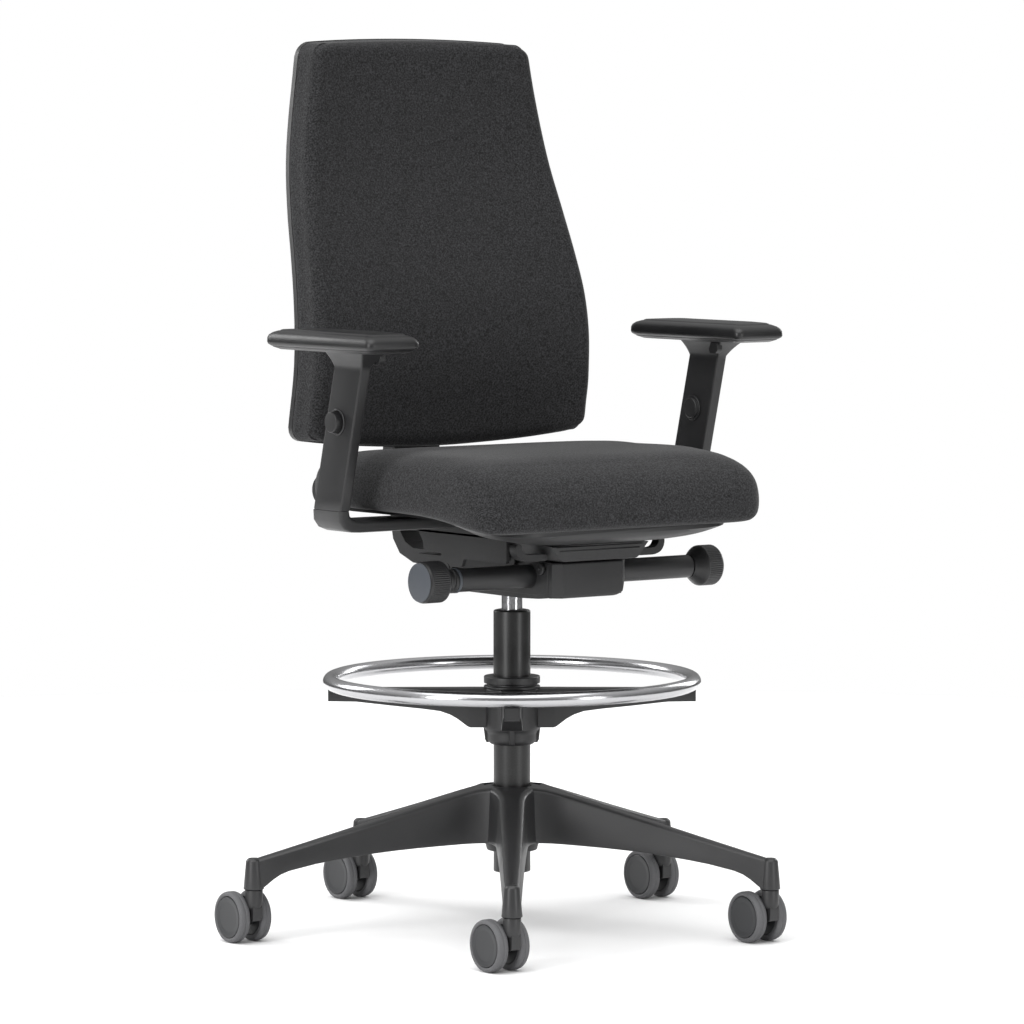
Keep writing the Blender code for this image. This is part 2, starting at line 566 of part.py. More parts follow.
def build_back(lift):
    tilt = Body("back_tilt", (0, *BACK_PIVOT), lift)
    outline = [(43, 488), (55, 481), (110, 488), (190, 490), (222, 501), (238, 520), (244, 545),
               (244, 800), (226, 800), (226, 552), (220, 530), (208, 517), (190, 510), (110, 509),
               (55, 509), (43, 502)]
    lever = tilt.piece("back_lever", prism([(y * MM, z * MM) for y, z in outline], 0,
                                           -68.5 * MM, 68.5 * MM), "plastic_black")
    pocket = CASE_HALF + 0.8 * MM
    tilt.cut(lever, block((-pocket, pocket), (0.03, CASE_REAR + 3.5 * MM), (0.47, 0.52)))
    for side in (-1, 1):
        shave = sorted((side * POST_HALF, side * 0.08))
        tilt.cut(lever, block(shave, (CASE_REAR + 25 * MM, 0.26), (0.47, 0.82)))
    tilt.cut(lever, rod(6 * MM + GAP, -0.08, 0.08, 12), along_x(*BACK_PIVOT))
    tilt.add(lever, rod(13 * MM, 20 * MM, 140 * MM, 16), toward_left(*BACK_KNOB))
    tilt.cut(lever, rod(SHAFT_RADIUS + GAP, 10 * MM, 150 * MM, 16), toward_left(*BACK_KNOB))

    knob = Body("back_knob", (-140 * MM, *BACK_KNOB), tilt)
    knob.piece("back_knob", turned([
        (0, 12 * MM), (SHAFT_RADIUS, 12 * MM), (SHAFT_RADIUS, 140 * MM + GAP),
        (20 * MM, 140 * MM + GAP), (21 * MM, 142 * MM), (21 * MM, 150 * MM), (16 * MM, 154 * MM),
        (0, 155 * MM)], 16), "plastic_black", toward_left(*BACK_KNOB))

    height = Body("back_height", (0, POST_FRONT, 625 * MM), tilt)
    shell_depth = BACK_HALF_THICKNESS + GAP
    rise = [(back_middle(z) + shell_depth, z) for z in (0.665, 0.7, 0.73, 0.757, 0.785)]
    sleeve = height.piece("back_sleeve", prism(
        rise + [(252 * MM, 785 * MM), (252 * MM, 625 * MM), (222 * MM, 625 * MM)],
        0, -40 * MM, 40 * MM), "plastic_black")
    post = POST_HALF + GAP
    height.cut(sleeve, block((-post, post), (POST_FRONT - GAP, POST_REAR + GAP), (0.6, 0.82)))
    height.piece("back_shell", back_panel(BACK_SPLIT + MM, BACK_HALF_THICKNESS), "plastic_black")
    height.piece("back_cushion", back_panel(-BACK_HALF_THICKNESS, BACK_SPLIT, 8 * MM), "fabric")


# Armrests

def lean(z):
    return ARM_LEAN_Y + ARM_LEAN * (ARM_LEAN_Z - z)


def leaning(shape):
    """Shears a shape drawn upright, so that it follows the leaning posts."""
    for vert in shape.verts:
        vert.co.y += lean(vert.co.z)
    return shape


def build_arm(side, label, seat):
    def across(inner, outer):
        """Distances from the middle of the chair, on this arm's side."""
        return sorted((side * inner, side * outer))

    lay = along_x if side > 0 else toward_left
    outside, inside = ARM_X + SLEEVE_HALF_X, ARM_X - SLEEVE_HALF_X
    foot = [(LINK_INNER, LINK_BOTTOM), (outside - 23 * MM, LINK_BOTTOM),
            (outside - 9 * MM, LINK_BOTTOM + 4 * MM), (outside - 2 * MM, LINK_BOTTOM + 12 * MM),
            (outside, LINK_BOTTOM + 21 * MM), (outside, SLEEVE_BOTTOM - GAP),
            (inside, SLEEVE_BOTTOM - GAP), (inside - 2 * MM, LINK_TOP + 4 * MM),
            (inside - 7 * MM, LINK_TOP), (LINK_INNER, LINK_TOP)]
    bracket = seat.piece(f"arm_bracket_{label}", leaning(prism(
        [(side * x, z) for x, z in foot], 1, -SLEEVE_HALF_Y, SLEEVE_HALF_Y)), "plastic_black")
    seat.add(bracket, leaning(block(across(ARM_X - UPRIGHT_HALF_X, ARM_X + UPRIGHT_HALF_X),
                                    (-UPRIGHT_HALF_Y, UPRIGHT_HALF_Y), (565 * MM, UPRIGHT_TOP))))

    raise_arm = Body(f"arm_height_{label}", (side * ARM_X, lean(SLEEVE_BOTTOM), SLEEVE_BOTTOM), seat)
    sections = []
    for z, half_x, half_y in ((SLEEVE_BOTTOM, SLEEVE_HALF_X, SLEEVE_HALF_Y),
                              (777 * MM, SLEEVE_HALF_X, SLEEVE_HALF_Y),
                              (791 * MM, 17 * MM, 43 * MM), (SLEEVE_TOP, 20 * MM, 46 * MM)):
        sections.append([(side * ARM_X + x, y, z) for x, y in rounded(half_x, half_y, 5 * MM)])
    sleeve = raise_arm.piece(f"arm_sleeve_{label}", leaning(loft(sections)), "plastic_black")
    raise_arm.cut(sleeve, leaning(block(
        across(ARM_X - UPRIGHT_HALF_X - GAP, ARM_X + UPRIGHT_HALF_X + GAP),
        (-UPRIGHT_HALF_Y - GAP, UPRIGHT_HALF_Y + GAP), (0.57, UPRIGHT_TOP + MM))))
    face = ARM_X + SLEEVE_HALF_X
    at_button = lay(lean(BUTTON_Z) + BUTTON_BACK, BUTTON_Z)
    raise_arm.add(sleeve, rod(COLLAR_RADIUS, face - MM, face + 2 * MM, 16), at_button)
    raise_arm.cut(sleeve, rod(BUTTON_RADIUS + GAP, ARM_X + UPRIGHT_HALF_X, 0.33, 16), at_button)
    inner_face = ARM_X - SLEEVE_HALF_X - GAP
    raise_arm.piece(f"arm_cap_{label}", turned([
        (0, inner_face - 5.5 * MM), (BUTTON_RADIUS - MM, inner_face - 5.5 * MM),
        (BUTTON_RADIUS, inner_face - 4.5 * MM), (BUTTON_RADIUS, inner_face - 2 * MM),
        (COLLAR_RADIUS, inner_face - 2 * MM), (COLLAR_RADIUS, inner_face), (0, inner_face)], 16),
                    "plastic_black", at_button)
    button = Body(f"arm_button_{label}", (side * face, lean(BUTTON_Z) + BUTTON_BACK, BUTTON_Z), raise_arm)
    button.piece(f"arm_button_{label}", turned([
        (0, face + 0.5 * MM), (BUTTON_RADIUS, face + 0.5 * MM), (BUTTON_RADIUS, face + 11 * MM),
        (BUTTON_RADIUS - MM, face + 12 * MM), (0, face + 12 * MM)], 16), "plastic_black", at_button)

    pad_slide = Body(f"pad_slide_{label}", (side * PAD_X, PAD_Y, SLEEVE_TOP), raise_arm)
    pad_base = [(795.5, 30, 111), (799.7, 36, 120)]
    pad = [(800, 37, 121), (804, 41, 125), (813, 41, 125), (818, 37, 120), (822, 27, 108)]
    for name, levels, material in (("arm_pad_base", pad_base, "plastic_black"),
                                   ("arm_pad", pad, "pad_black")):
        sections = [[(side * PAD_X + x, PAD_Y + y, z * MM)
                     for x, y in rounded(half_x * MM, half_y * MM, 12 * MM, 3)]
                    for z, half_x, half_y in levels]
        pad_slide.piece(f"{name}_{label}", loft(sections), material)


def main():
    clear_scene()
    base = build_base()
    for number, angle in enumerate(ARM_ANGLES, 1):
        build_caster(number, angle, base)
    build_foot_ring(base)
    lift = build_gas_lift(base)
    build_case(lift)
    build_knobs(lift)
    seat = build_seat(lift)
    build_back(lift)
    for side, label in ((-1, "right"), (1, "left")):
        build_arm(side, label, seat)


main()
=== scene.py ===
"""A tall swivel work chair: seat and back in woven cloth over foam, moulded black plastics, a chromed
foot ring and a powder-coated column, each finished piece standing in the space of its CAD solid."""
import math

import bmesh
import bpy
import numpy as np
from mathutils import Matrix, Vector


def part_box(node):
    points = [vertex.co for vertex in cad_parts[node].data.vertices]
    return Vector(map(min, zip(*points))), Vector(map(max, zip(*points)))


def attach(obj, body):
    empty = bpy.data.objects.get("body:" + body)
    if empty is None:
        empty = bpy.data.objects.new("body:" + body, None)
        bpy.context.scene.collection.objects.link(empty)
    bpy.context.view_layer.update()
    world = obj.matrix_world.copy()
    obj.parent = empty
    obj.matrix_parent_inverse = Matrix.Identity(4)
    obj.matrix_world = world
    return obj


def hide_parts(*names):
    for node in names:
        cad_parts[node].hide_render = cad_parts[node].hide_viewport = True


bl_info = {"name": "Drafting Chair", "version": (1, 0, 0), "blender": (4, 5, 0),
    "location": "View3D > Sidebar > Chair",
    "description": "Builds a tall swivel chair piece by piece over its CAD frame", "category": "Add Mesh",
    }

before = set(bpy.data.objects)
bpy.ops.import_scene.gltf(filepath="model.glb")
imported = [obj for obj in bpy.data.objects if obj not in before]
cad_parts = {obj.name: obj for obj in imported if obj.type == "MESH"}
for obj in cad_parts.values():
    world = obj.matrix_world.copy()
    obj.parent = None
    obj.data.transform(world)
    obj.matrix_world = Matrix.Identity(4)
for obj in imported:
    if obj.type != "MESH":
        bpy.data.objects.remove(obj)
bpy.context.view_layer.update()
MM = 0.001
TURN = math.tau


def middle(node):
    low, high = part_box(node)
    return (Vector(low) + Vector(high)) / 2


# Everything is drawn about the column's axis and set down on it when it is finished
COLUMN = Vector((0, middle("column_tube").y, 0))
RING_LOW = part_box("foot_ring")[0]
SIDES = ((-1, "right"), (1, "left"))


# Colour and materials

def linear(code):
    """A linear colour from an sRGB hex code."""
    channels = [int(code[i:i + 2], 16) / 255 for i in (1, 3, 5)]
    return [c / 12.92 if c <= 0.04045 else ((c + 0.055) / 1.055) ** 2.4 for c in channels]


def rgba(colour):
    return (*(linear(colour) if isinstance(colour, str) else colour), 1.0)


def add_node(tree, kind, sockets=None, **settings):
    """Adds a node; sockets gives each input a value, or the node or output that feeds it."""
    made = tree.nodes.new("ShaderNode" + kind)
    for name, value in settings.items():
        setattr(made, name, value)
    for name, value in (sockets or {}).items():
        if isinstance(value, bpy.types.Node):
            value = value.outputs[0]
        if isinstance(value, bpy.types.NodeSocket):
            tree.links.new(value, made.inputs[name])
        else:
            made.inputs[name].default_value = value
    return made


def start_material(name, **fixed):
    """An empty Principled material: its tree, its shader and the object's own coordinates."""
    material = bpy.data.materials.new(name)
    material.use_nodes = True
    tree = material.node_tree
    shader = tree.nodes["Principled BSDF"]
    for socket, value in fixed.items():
        shader.inputs[socket.replace("_", " ")].default_value = value
    where = add_node(tree, "TexCoord").outputs["Object"]
    return material, tree, shader, where


def moulded(name, dark, light, rough, grain, depth, **fixed):
    """A moulded or sprayed skin: fine grain in the relief, slow drift in colour and gloss.

    grain is the grain's spacing in metres and depth its height.
    """
    material, tree, shader, where = start_material(name, **fixed)
    skin = add_node(tree, "TexNoise", {"Vector": where, "Scale": 1 / grain, "Detail": 3.0})
    drift = add_node(tree, "TexNoise", {"Vector": where, "Scale": 14.0, "Detail": 4.0})
    both = add_node(tree, "Math", {0: skin, 1: drift}, operation="MULTIPLY")
    ramp = add_node(tree, "MapRange", {"Value": both, "From Min": 0.12, "From Max": 0.42})
    colour = add_node(tree, "Mix", {0: ramp, 6: rgba(dark), 7: rgba(light)}, data_type="RGBA")
    tree.links.new(colour.outputs[2], shader.inputs["Base Color"])
    gloss = add_node(tree, "MapRange", {"Value": drift, "From Min": 0.3,
        "From Max": 0.7, "To Min": rough - 0.05, "To Max": rough + 0.06})
    tree.links.new(gloss.outputs[0], shader.inputs["Roughness"])
    relief = add_node(tree, "Bump", {"Height": skin, "Strength": 0.6, "Distance": depth})
    tree.links.new(relief.outputs[0], shader.inputs["Normal"])
    return material


def bare_metal(name, colour, marks_scale, smoothest, roughest):
    """Bare metal whose gloss varies with the marks left by its finishing."""
    material, tree, shader, where = start_material(name, Metallic=1.0)
    shader.inputs["Base Color"].default_value = rgba(colour)
    marks = add_node(tree, "TexNoise", {"Vector": where, "Scale": marks_scale, "Detail": 2.0})
    spread = add_node(tree, "MapRange", {"Value": marks, "To Min": smoothest, "To Max": roughest})
    tree.links.new(spread.outputs[0], shader.inputs["Roughness"])
    return material


MATERIALS = {}


def make_materials(looks):
    """Every finish of the chair, by the name of what it is made of."""
    for name, dark, light, rough, grain, depth in (
            # Moulded glass-filled nylon: satin, with the faint spark-eroded grain of its mould
            ("glass_filled_nylon", looks.nylon_colour, "#272728", 0.42, 0.9, 0.03),
            # Moulded polypropylene: nearly as satin as the nylon, with a slightly coarser grain
            ("polypropylene", looks.plastic_colour, "#232324", 0.44, 1.1, 0.035),
            ("hub_cap_nylon", "#262729", "#2E2F31", 0.42, 1.0, 0.02),
            # Black powder coat: a fine orange-peel texture that breaks the highlight into sparkle
            ("powder_coated_steel", "#0E0E0E", "#242424", 0.36, 1.6, 0.12),
            # Sprayed aluminium casting of the mechanism
            ("cast_aluminium_black", "#151516", "#1F1F20", 0.5, 2.2, 0.08),
            # Grey polyurethane tread, soft and matt, picking up dust
            ("polyurethane_tread", looks.tread_colour, "#5A5A5C", 0.62, 1.4, 0.04),
            # Self-skinned polyurethane foam of the arm pads: close, soft sheen
            ("polyurethane_skin", "#151516", "#1D1D1E", 0.40, 0.8, 0.02),
            ("blue_grey_abs", "#3C4046", "#464A50", 0.45, 0.8, 0.02)):
        MATERIALS[name] = moulded(name, dark, light, rough, grain * MM, depth * MM)
    # Polished chrome on bent tube: a mirror with the slight haze of polishing marks
    MATERIALS["chromed_tube"] = bare_metal("chromed_tube", "#B9B9BB", 240.0, 0.17, 0.27)
    # Turned steel: rings left by the tool
    MATERIALS["turned_steel"] = bare_metal("turned_steel", "#B2B2B4", 900.0, 0.28, 0.42)
    MATERIALS["woven_cloth"] = woven_cloth(looks)


def woven_cloth(looks):
    """Flat upholstery weave of charcoal and black yarn; the yarns are drawn 2.2 mm apart, about twice
    their real pitch, so that the weave shows across a room."""
    material, tree, shader, where = start_material("woven_cloth", Roughness=0.93)
    shader.inputs["Specular IOR Level"].default_value = 0.15
    shader.inputs["Sheen Weight"].default_value = 0.12
    shader.inputs["Sheen Roughness"].default_value = 0.45
    axes = add_node(tree, "SeparateXYZ", {"Vector": where})
    along = add_node(tree, "Math", {0: axes.outputs[1], 1: axes.outputs[2]}, operation="ADD")
    lean = add_node(tree, "Math", {0: axes.outputs[1], 1: axes.outputs[2]}, operation="SUBTRACT")
    across = add_node(tree, "Math", {0: lean, 1: 0.3, 2: axes.outputs[0]}, operation="MULTIPLY_ADD")
    pitch = math.tau / looks.weave_pitch
    waves = []
    for direction in (along, across):
        phase = add_node(tree, "Math", {0: direction, 1: pitch}, operation="MULTIPLY")
        waves.append(add_node(tree, "Math", {0: phase}, operation="SINE"))
    crossing = add_node(tree, "Math", {0: waves[0], 1: waves[1]}, operation="MULTIPLY")
    yarn = add_node(tree, "TexNoise", {"Vector": where, "Scale": 1.0 / looks.weave_pitch,
        "Detail": 2.0, "Roughness": 0.6})
    fleck = add_node(tree, "Math", {0: crossing, 1: 0.12, 2: yarn}, operation="MULTIPLY_ADD")
    shade = add_node(tree, "MapRange", {"Value": fleck, "From Min": 0.34, "From Max": 0.76})
    nap = add_node(tree, "TexNoise", {"Vector": where, "Scale": 9.0, "Detail": 3.0})
    worn = add_node(tree, "MapRange", {"Value": nap, "From Min": 0.3,
        "From Max": 0.7, "To Min": 0.0, "To Max": 0.12})
    yarns = add_node(tree, "Mix", {0: shade, 6: rgba(looks.cloth_dark), 7: rgba(looks.cloth_light)},
        data_type="RGBA")
    cloth = add_node(tree, "Mix", {0: worn, 6: yarns.outputs[2], 7: rgba("#2A2A2A")}, data_type="RGBA")
    tree.links.new(cloth.outputs[2], shader.inputs["Base Color"])
    relief = add_node(tree, "Bump", {"Height": fleck, "Strength": 0.55, "Distance": 0.5 * MM})
    tree.links.new(relief.outputs[0], shader.inputs["Normal"])
    return material


# Shapes

def eased(position, knots, values):
    """A smooth curve through values at the knots."""
    knots, values = np.array(knots, float), np.array(values, float)
    slopes = np.gradient(values, knots)
    position = min(max(position, knots[0]), knots[-1])
    i = int(min(np.searchsorted(knots, position, side="right") - 1, len(knots) - 2))
    width = knots[i + 1] - knots[i]
    t = (position - knots[i]) / width
    return float((2 * t ** 3 - 3 * t ** 2 + 1) * values[i] + (t ** 3 - 2 * t ** 2 + t) * width * slopes[i]
        + (3 * t ** 2 - 2 * t ** 3) * values[i + 1] + (t ** 3 - t ** 2) * width * slopes[i + 1])


def ease_corners(points, radius, steps=3):
    """Rounds the corners of an outline; radius is one number or one for each corner."""
    points = [Vector(p) for p in points]
    out = []
    for i, corner in enumerate(points):
        size = radius[i] if isinstance(radius, (list, tuple)) else radius
        if not size:
            out.append(corner)
            continue
        before, after = points[i - 1] - corner, points[(i + 1) % len(points)] - corner
        start = corner + before.normalized() * min(size, 0.48 * before.length)
        end = corner + after.normalized() * min(size, 0.48 * after.length)
        for step in range(steps + 1):
            t = step / steps
            out.append((1 - t) ** 2 * start + 2 * t * (1 - t) * corner + t ** 2 * end)
    return out


def loft(sections, cap=True):
    """A skin bridged from each closed outline to the next."""
    bm = bmesh.new()
    loops = []
    for section in sections:
        verts = [bm.verts.new(p) for p in section]
        loops.append([bm.edges.new(pair) for pair in zip(verts, verts[1:] + verts[:1])])
    for loop, following in zip(loops, loops[1:]):
        bmesh.ops.bridge_loops(bm, edges=loop + following)
    if cap:
        bmesh.ops.holes_fill(bm, edges=loops[0] + loops[-1], sides=0)
    bmesh.ops.recalc_face_normals(bm, faces=bm.faces)
    return bm


def plate(outline, axis, low, high):
    """A flat outline pulled along X, Y or Z; its own coordinates are the other two axes, in order."""
    def at(depth):
        return [tuple(p[:axis]) + (depth,) + tuple(p[axis:]) for p in map(tuple, outline)]
    return loft([at(low), at(high)])


def eased_plate(outline, radius, axis, low, high, steps=3):
    """A plate from an outline in millimetres with eased corners, between two depths in any order."""
    outline = ease_corners([(a * MM, b * MM) for a, b in outline], radius * MM, steps)
    return plate(outline, axis, *sorted((low * MM, high * MM)))


def turned(profile, steps=64, closed=False):
    """A (radius, height) profile spun about Z."""
    bm = bmesh.new()
    verts = [bm.verts.new((radius, 0, height)) for radius, height in profile]
    edges = [bm.edges.new(pair) for pair in zip(verts, verts[1:])]
    if closed:
        edges.append(bm.edges.new((verts[-1], verts[0])))
    bmesh.ops.spin(bm, geom=verts + edges, cent=(0, 0, 0), axis=(0, 0, 1), angle=TURN, steps=steps,
        use_merge=True)
    bmesh.ops.remove_doubles(bm, verts=bm.verts, dist=0.01 * MM)
    bmesh.ops.recalc_face_normals(bm, faces=bm.faces)
    return bm


def ring_profile(points, radius, closed=True, steps=3):
    """A profile in millimetres with eased corners."""
    if closed:
        return [(p[0] * MM, p[1] * MM) for p in ease_corners(points, radius, steps)]
    sizes = [0] + [radius] * (len(points) - 2) + [0]
    return [(p[0] * MM, p[1] * MM) for p in ease_corners(points, sizes, steps)]


def lathe(points, radius, segments, closed=True, steps=3):
    """A body turned from a profile in millimetres with eased corners."""
    return turned(ring_profile(points, radius, closed, steps), segments, closed)


def block(x, y, z, bevel=0.0, segments=3):
    """A cube stretched between (low, high) pairs in millimetres, with bevelled edges."""
    bm = bmesh.new()
    bmesh.ops.create_cube(bm, size=1.0)
    size = Vector((x[1] - x[0], y[1] - y[0], z[1] - z[0])) * MM
    centre = Vector((x[1] + x[0], y[1] + y[0], z[1] + z[0])) * MM / 2
    bmesh.ops.scale(bm, vec=size, verts=bm.verts)
    bmesh.ops.translate(bm, vec=centre, verts=bm.verts)
    if bevel:
        bmesh.ops.bevel(bm, geom=bm.edges[:], offset=bevel * MM, segments=segments, profile=0.5,
            affect="EDGES", material=-1)
    return bm


def joined(*shapes):
    """Several shapes as one."""
    whole = bmesh.new()
    for shape in shapes:
        mesh = bpy.data.meshes.new("part")
        shape.to_mesh(mesh)
        shape.free()
        whole.from_mesh(mesh)
        bpy.data.meshes.remove(mesh)
    return whole


def as_object(shape, name):
    """Puts a shape into the scene as an object of its own."""
    mesh = bpy.data.meshes.new(name)
    shape.to_mesh(mesh)
    shape.free()
    obj = bpy.data.objects.new(name, mesh)
    bpy.context.scene.collection.objects.link(obj)
    return obj


def laid(shape, place):
    """Moves a shape; a mirrored one has its faces turned outward again."""
    shape.transform(place)
    if place.to_3x3().determinant() < 0:
        bmesh.ops.reverse_faces(shape, faces=shape.faces)
    return shape


def along_x(y, z, x=0.0):
    """Lays something drawn about Z along +X through (y, z), in metres."""
    return Matrix.Translation((x, y, z)) @ Matrix.Rotation(math.pi / 2, 4, "Y")


def toward_right(y, z, x=0.0):
    """Lays something drawn about Z along -X, toward the sitter's right."""
    return Matrix.Translation((x, y, z)) @ Matrix.Rotation(-math.pi / 2, 4, "Y")


def outward(side, y, z, x=0.0):
    """Lays something drawn about Z along the X axis, toward the given side."""
    return (along_x if side > 0 else toward_right)(y, z, x)


def spoke_turn(angle):
    return Matrix.Rotation(math.radians(angle), 4, "Z")


def piece(name, shape, material, body, stands_for=(), bevel=0.0, segments=3, angle=34.0):
    """Finishes a shape: sets it down on the column's axis, gives it its material and its body."""
    shape.transform(Matrix.Translation(COLUMN))
    obj = as_object(shape, name)
    mesh = obj.data
    mesh.materials.append(MATERIALS[material])
    mesh.shade_smooth()
    if bevel:
        rounding = obj.modifiers.new("rounded edges", "BEVEL")
        rounding.width, rounding.segments = bevel * MM, segments
        rounding.limit_method, rounding.angle_limit = "ANGLE", math.radians(angle)
        rounding.harden_normals = True
    else:
        mesh.set_sharp_from_angle(angle=math.radians(angle))
    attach(obj, body)
    if stands_for:
        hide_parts(*([stands_for] if isinstance(stands_for, str) else stands_for))
    return obj


def refinish(material, *nodes):
    """A CAD node whose shape is right keeps it, and takes a real finish."""
    for node in nodes:
        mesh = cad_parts[node].data
        mesh.materials.clear()
        mesh.materials.append(MATERIALS[material])


# Base and casters

ARM_REACH = 362 * MM
ARM_ANGLES = (-36, 36, 108, 180, -108)       # degrees from the front, toward the sitter's left
CASTER_TRAIL, WHEEL_RADIUS = 27 * MM, 34.5 * MM


def base_arm():
    """One arm along -Y: crowned above, wider below, webbed into the hub and hooked over its caster."""
    sections = []
    for reach in (36, 46, 52, 58, 65, 74, 86, 110, 140, 170, 200, 227, 255, 280, 300, 316, 328, 338, 346,
            354, 362):
        top = eased(reach, (36, 50, 70, 227, 362), (200, 198, 193, 150, 114))
        bottom = eased(reach, (36, 60, 227, 300, 328, 344, 352, 362), (126, 125, 113, 101, 93, 82, 75, 74))
        web = 15 * max(0, (82 - reach) / 46) ** 2.2
        foot = float(np.interp(reach, (50, 320, 362), (22.5, 13.6, 11))) + web
        crown = float(np.interp(reach, (50, 320, 362), (17.5, 10.5, 9))) + web
        outline = [(-foot, bottom), (foot, bottom), (foot - 0.6, bottom + 10), (crown, top - 3.2),
            (crown - 6, top), (6 - crown, top), (-crown, top - 3.2), (0.6 - foot, bottom + 10)]
        sections.append([(x * MM, -reach * MM, z * MM) for x, z in ease_corners(outline,
            [2, 2, 4, 2.5, 4, 4, 2.5, 4])])
    return loft(sections)


def build_star():
    shapes = []
    for angle in ARM_ANGLES:
        shapes.append(laid(base_arm(), spoke_turn(angle)))
        socket = lathe([(6, 73.5), (13.8, 73.5), (12.2, 92), (10.4, 112), (7, 115.5), (0, 115.5)], 1.6,
            40, closed=False)
        shapes.append(laid(socket, spoke_turn(angle) @ Matrix.Translation((0, -ARM_REACH, 0))))
    hub = lathe([(25.4, 124), (50, 124), (53, 130), (50, 186), (44, 197), (31, 199.5), (27, 199.5),
        (25.4, 197)], 2.5, 80)
    piece("star_base", joined(hub, *shapes), "glass_filled_nylon", "base", "base_star", angle=40)
    # Collar round the column's foot, seen from below
    foot = lathe([(25.5, 112), (34, 112), (37, 124.5), (25.5, 124.5)], 1, 64)
    piece("hub_collar", foot, "glass_filled_nylon", "base")


def caster_housing():
    """Barrel round the stem, and the web that carries the axle between the wheels."""
    barrel = lathe([(0, 44.6), (6.5, 45.2), (11, 49.5), (12, 55), (12, 73.2), (6.2, 73.2), (0, 73.2)],
        1.6, 48, closed=False)
    web = [(-9.5, 31), (-10.5, 52), (-4, 61.5), (8, 65.5), (25, 62), (41, 54), (49, 43), (50, 32),
        (44, 24), (30, 20), (18, 22), (8, 30)]
    web = eased_plate(web, 5, 0, -7.4, 7.4)
    axle = laid(turned([(0, -21.4 * MM), (3.1 * MM, -21.4 * MM), (3.1 * MM, 21.4 * MM), (0, 21.4 * MM)],
        24), along_x(CASTER_TRAIL, WHEEL_RADIUS))
    return joined(barrel, web, axle)


def tread():
    """Tyre: rounded shoulders, a shallow middle groove, and the rim that grips the hub cap."""
    outline = [(28.6, 24.2), (29.6, 25), (31.4, 25), (33.6, 23.6), (34.5, 20.4), (34.5, 17.4), (33.9, 17),
        (33.9, 16.4), (34.5, 16), (34.5, 12.6), (33.4, 10), (31, 8.9), (27, 8.9), (27, 20)]
    return lathe(outline, 0.8, 72, steps=2)


def hub_cap():
    """Slightly dished cap with a fine shadow gap round it, and the wheel's inner disc."""
    return lathe([(0, 22.9), (20, 23.3), (26.2, 24.3), (27.4, 24), (27.7, 22.6), (27.2, 21.9),
        (27.2, 10.2), (25, 9.4), (8, 9.4), (7, 8.9), (3.4, 8.9), (3.4, 21.5), (0, 21.6)], 0.5, 64,
        closed=False, steps=2)


def build_casters():
    for number, angle in enumerate(ARM_ANGLES, 1):
        stem = Vector((0, -ARM_REACH, 0))
        stem.rotate(spoke_turn(angle))
        stood = Matrix.Translation(stem)
        piece(f"caster_barrel_{number}", laid(caster_housing(), stood), "glass_filled_nylon",
              f"caster_{number}", f"caster_housing_{number}", bevel=0.7, segments=2)
        for side, label in SIDES:
            body = f"wheel_{label}_{number}"
            lay = outward(side, stem.y + CASTER_TRAIL, WHEEL_RADIUS, stem.x)
            piece(f"tyre_{label}_{number}", laid(tread(), lay), "polyurethane_tread", body, body)
            piece(f"hub_cap_{label}_{number}", laid(hub_cap(), lay), "hub_cap_nylon", body)


# Column and gas lift

def build_column():
    tube = lathe([(22.6, 82.6), (24.2, 82.6), (25, 83.6), (25, 436), (23.6, 437.5), (22.6, 437.5)], 0.6, 96)
    piece("column_sleeve", tube, "powder_coated_steel", "base", "column_tube")
    bush = lathe([(14.3, 372), (22.2, 372), (22.2, 436.4), (20.5, 438.2), (15.5, 438.2), (14.3, 436)],
        0.6, 96)
    piece("top_bush", bush, "polypropylene", "base", "guide_bush")
    cylinder = lathe([(5.4, 100.2), (12.6, 100.2), (14, 101.6), (14, 492), (12.4, 498.6), (0, 498.6)],
        0.8, 96, closed=False)
    piece("gas_spring", cylinder, "chromed_tube", "lift", "gas_cylinder")


# Foot ring

SPOKE_ANGLES = (-36, 54, 144, -126)
SPOKE_TOP = RING_LOW[2] - 0.3 * MM


def spoke():
    """Flat-topped beam, deep and waisted at the hub; its open end shows a raised rim."""
    top = SPOKE_TOP / MM
    sections = []
    for reach, bottom, half in ((30, 279, 14.6), (56, 279, 14.6), (60, 280.5, 14.4), (66, 285, 14),
            (74, 291, 13.4), (84, 296.5, 13), (97, 301, 12.5), (120, 304, 12), (160, 308, 11.4),
            (210, 313.6, 11), (238, 314, 10.8), (248.2, 314, 10.6)):
        outline = [(-half, bottom), (half, bottom), (half, top), (-half, top)]
        sections.append([(x * MM, -reach * MM, z * MM) for x, z in ease_corners(outline, 1.4, 2)])
    bm = loft(sections)
    end = min(bm.faces, key=lambda face: face.calc_center_median().y)
    bmesh.ops.inset_region(bm, faces=[end], thickness=1.8 * MM, depth=0)
    bmesh.ops.translate(bm, vec=(0, 1.6 * MM, 0), verts=end.verts)
    return bm


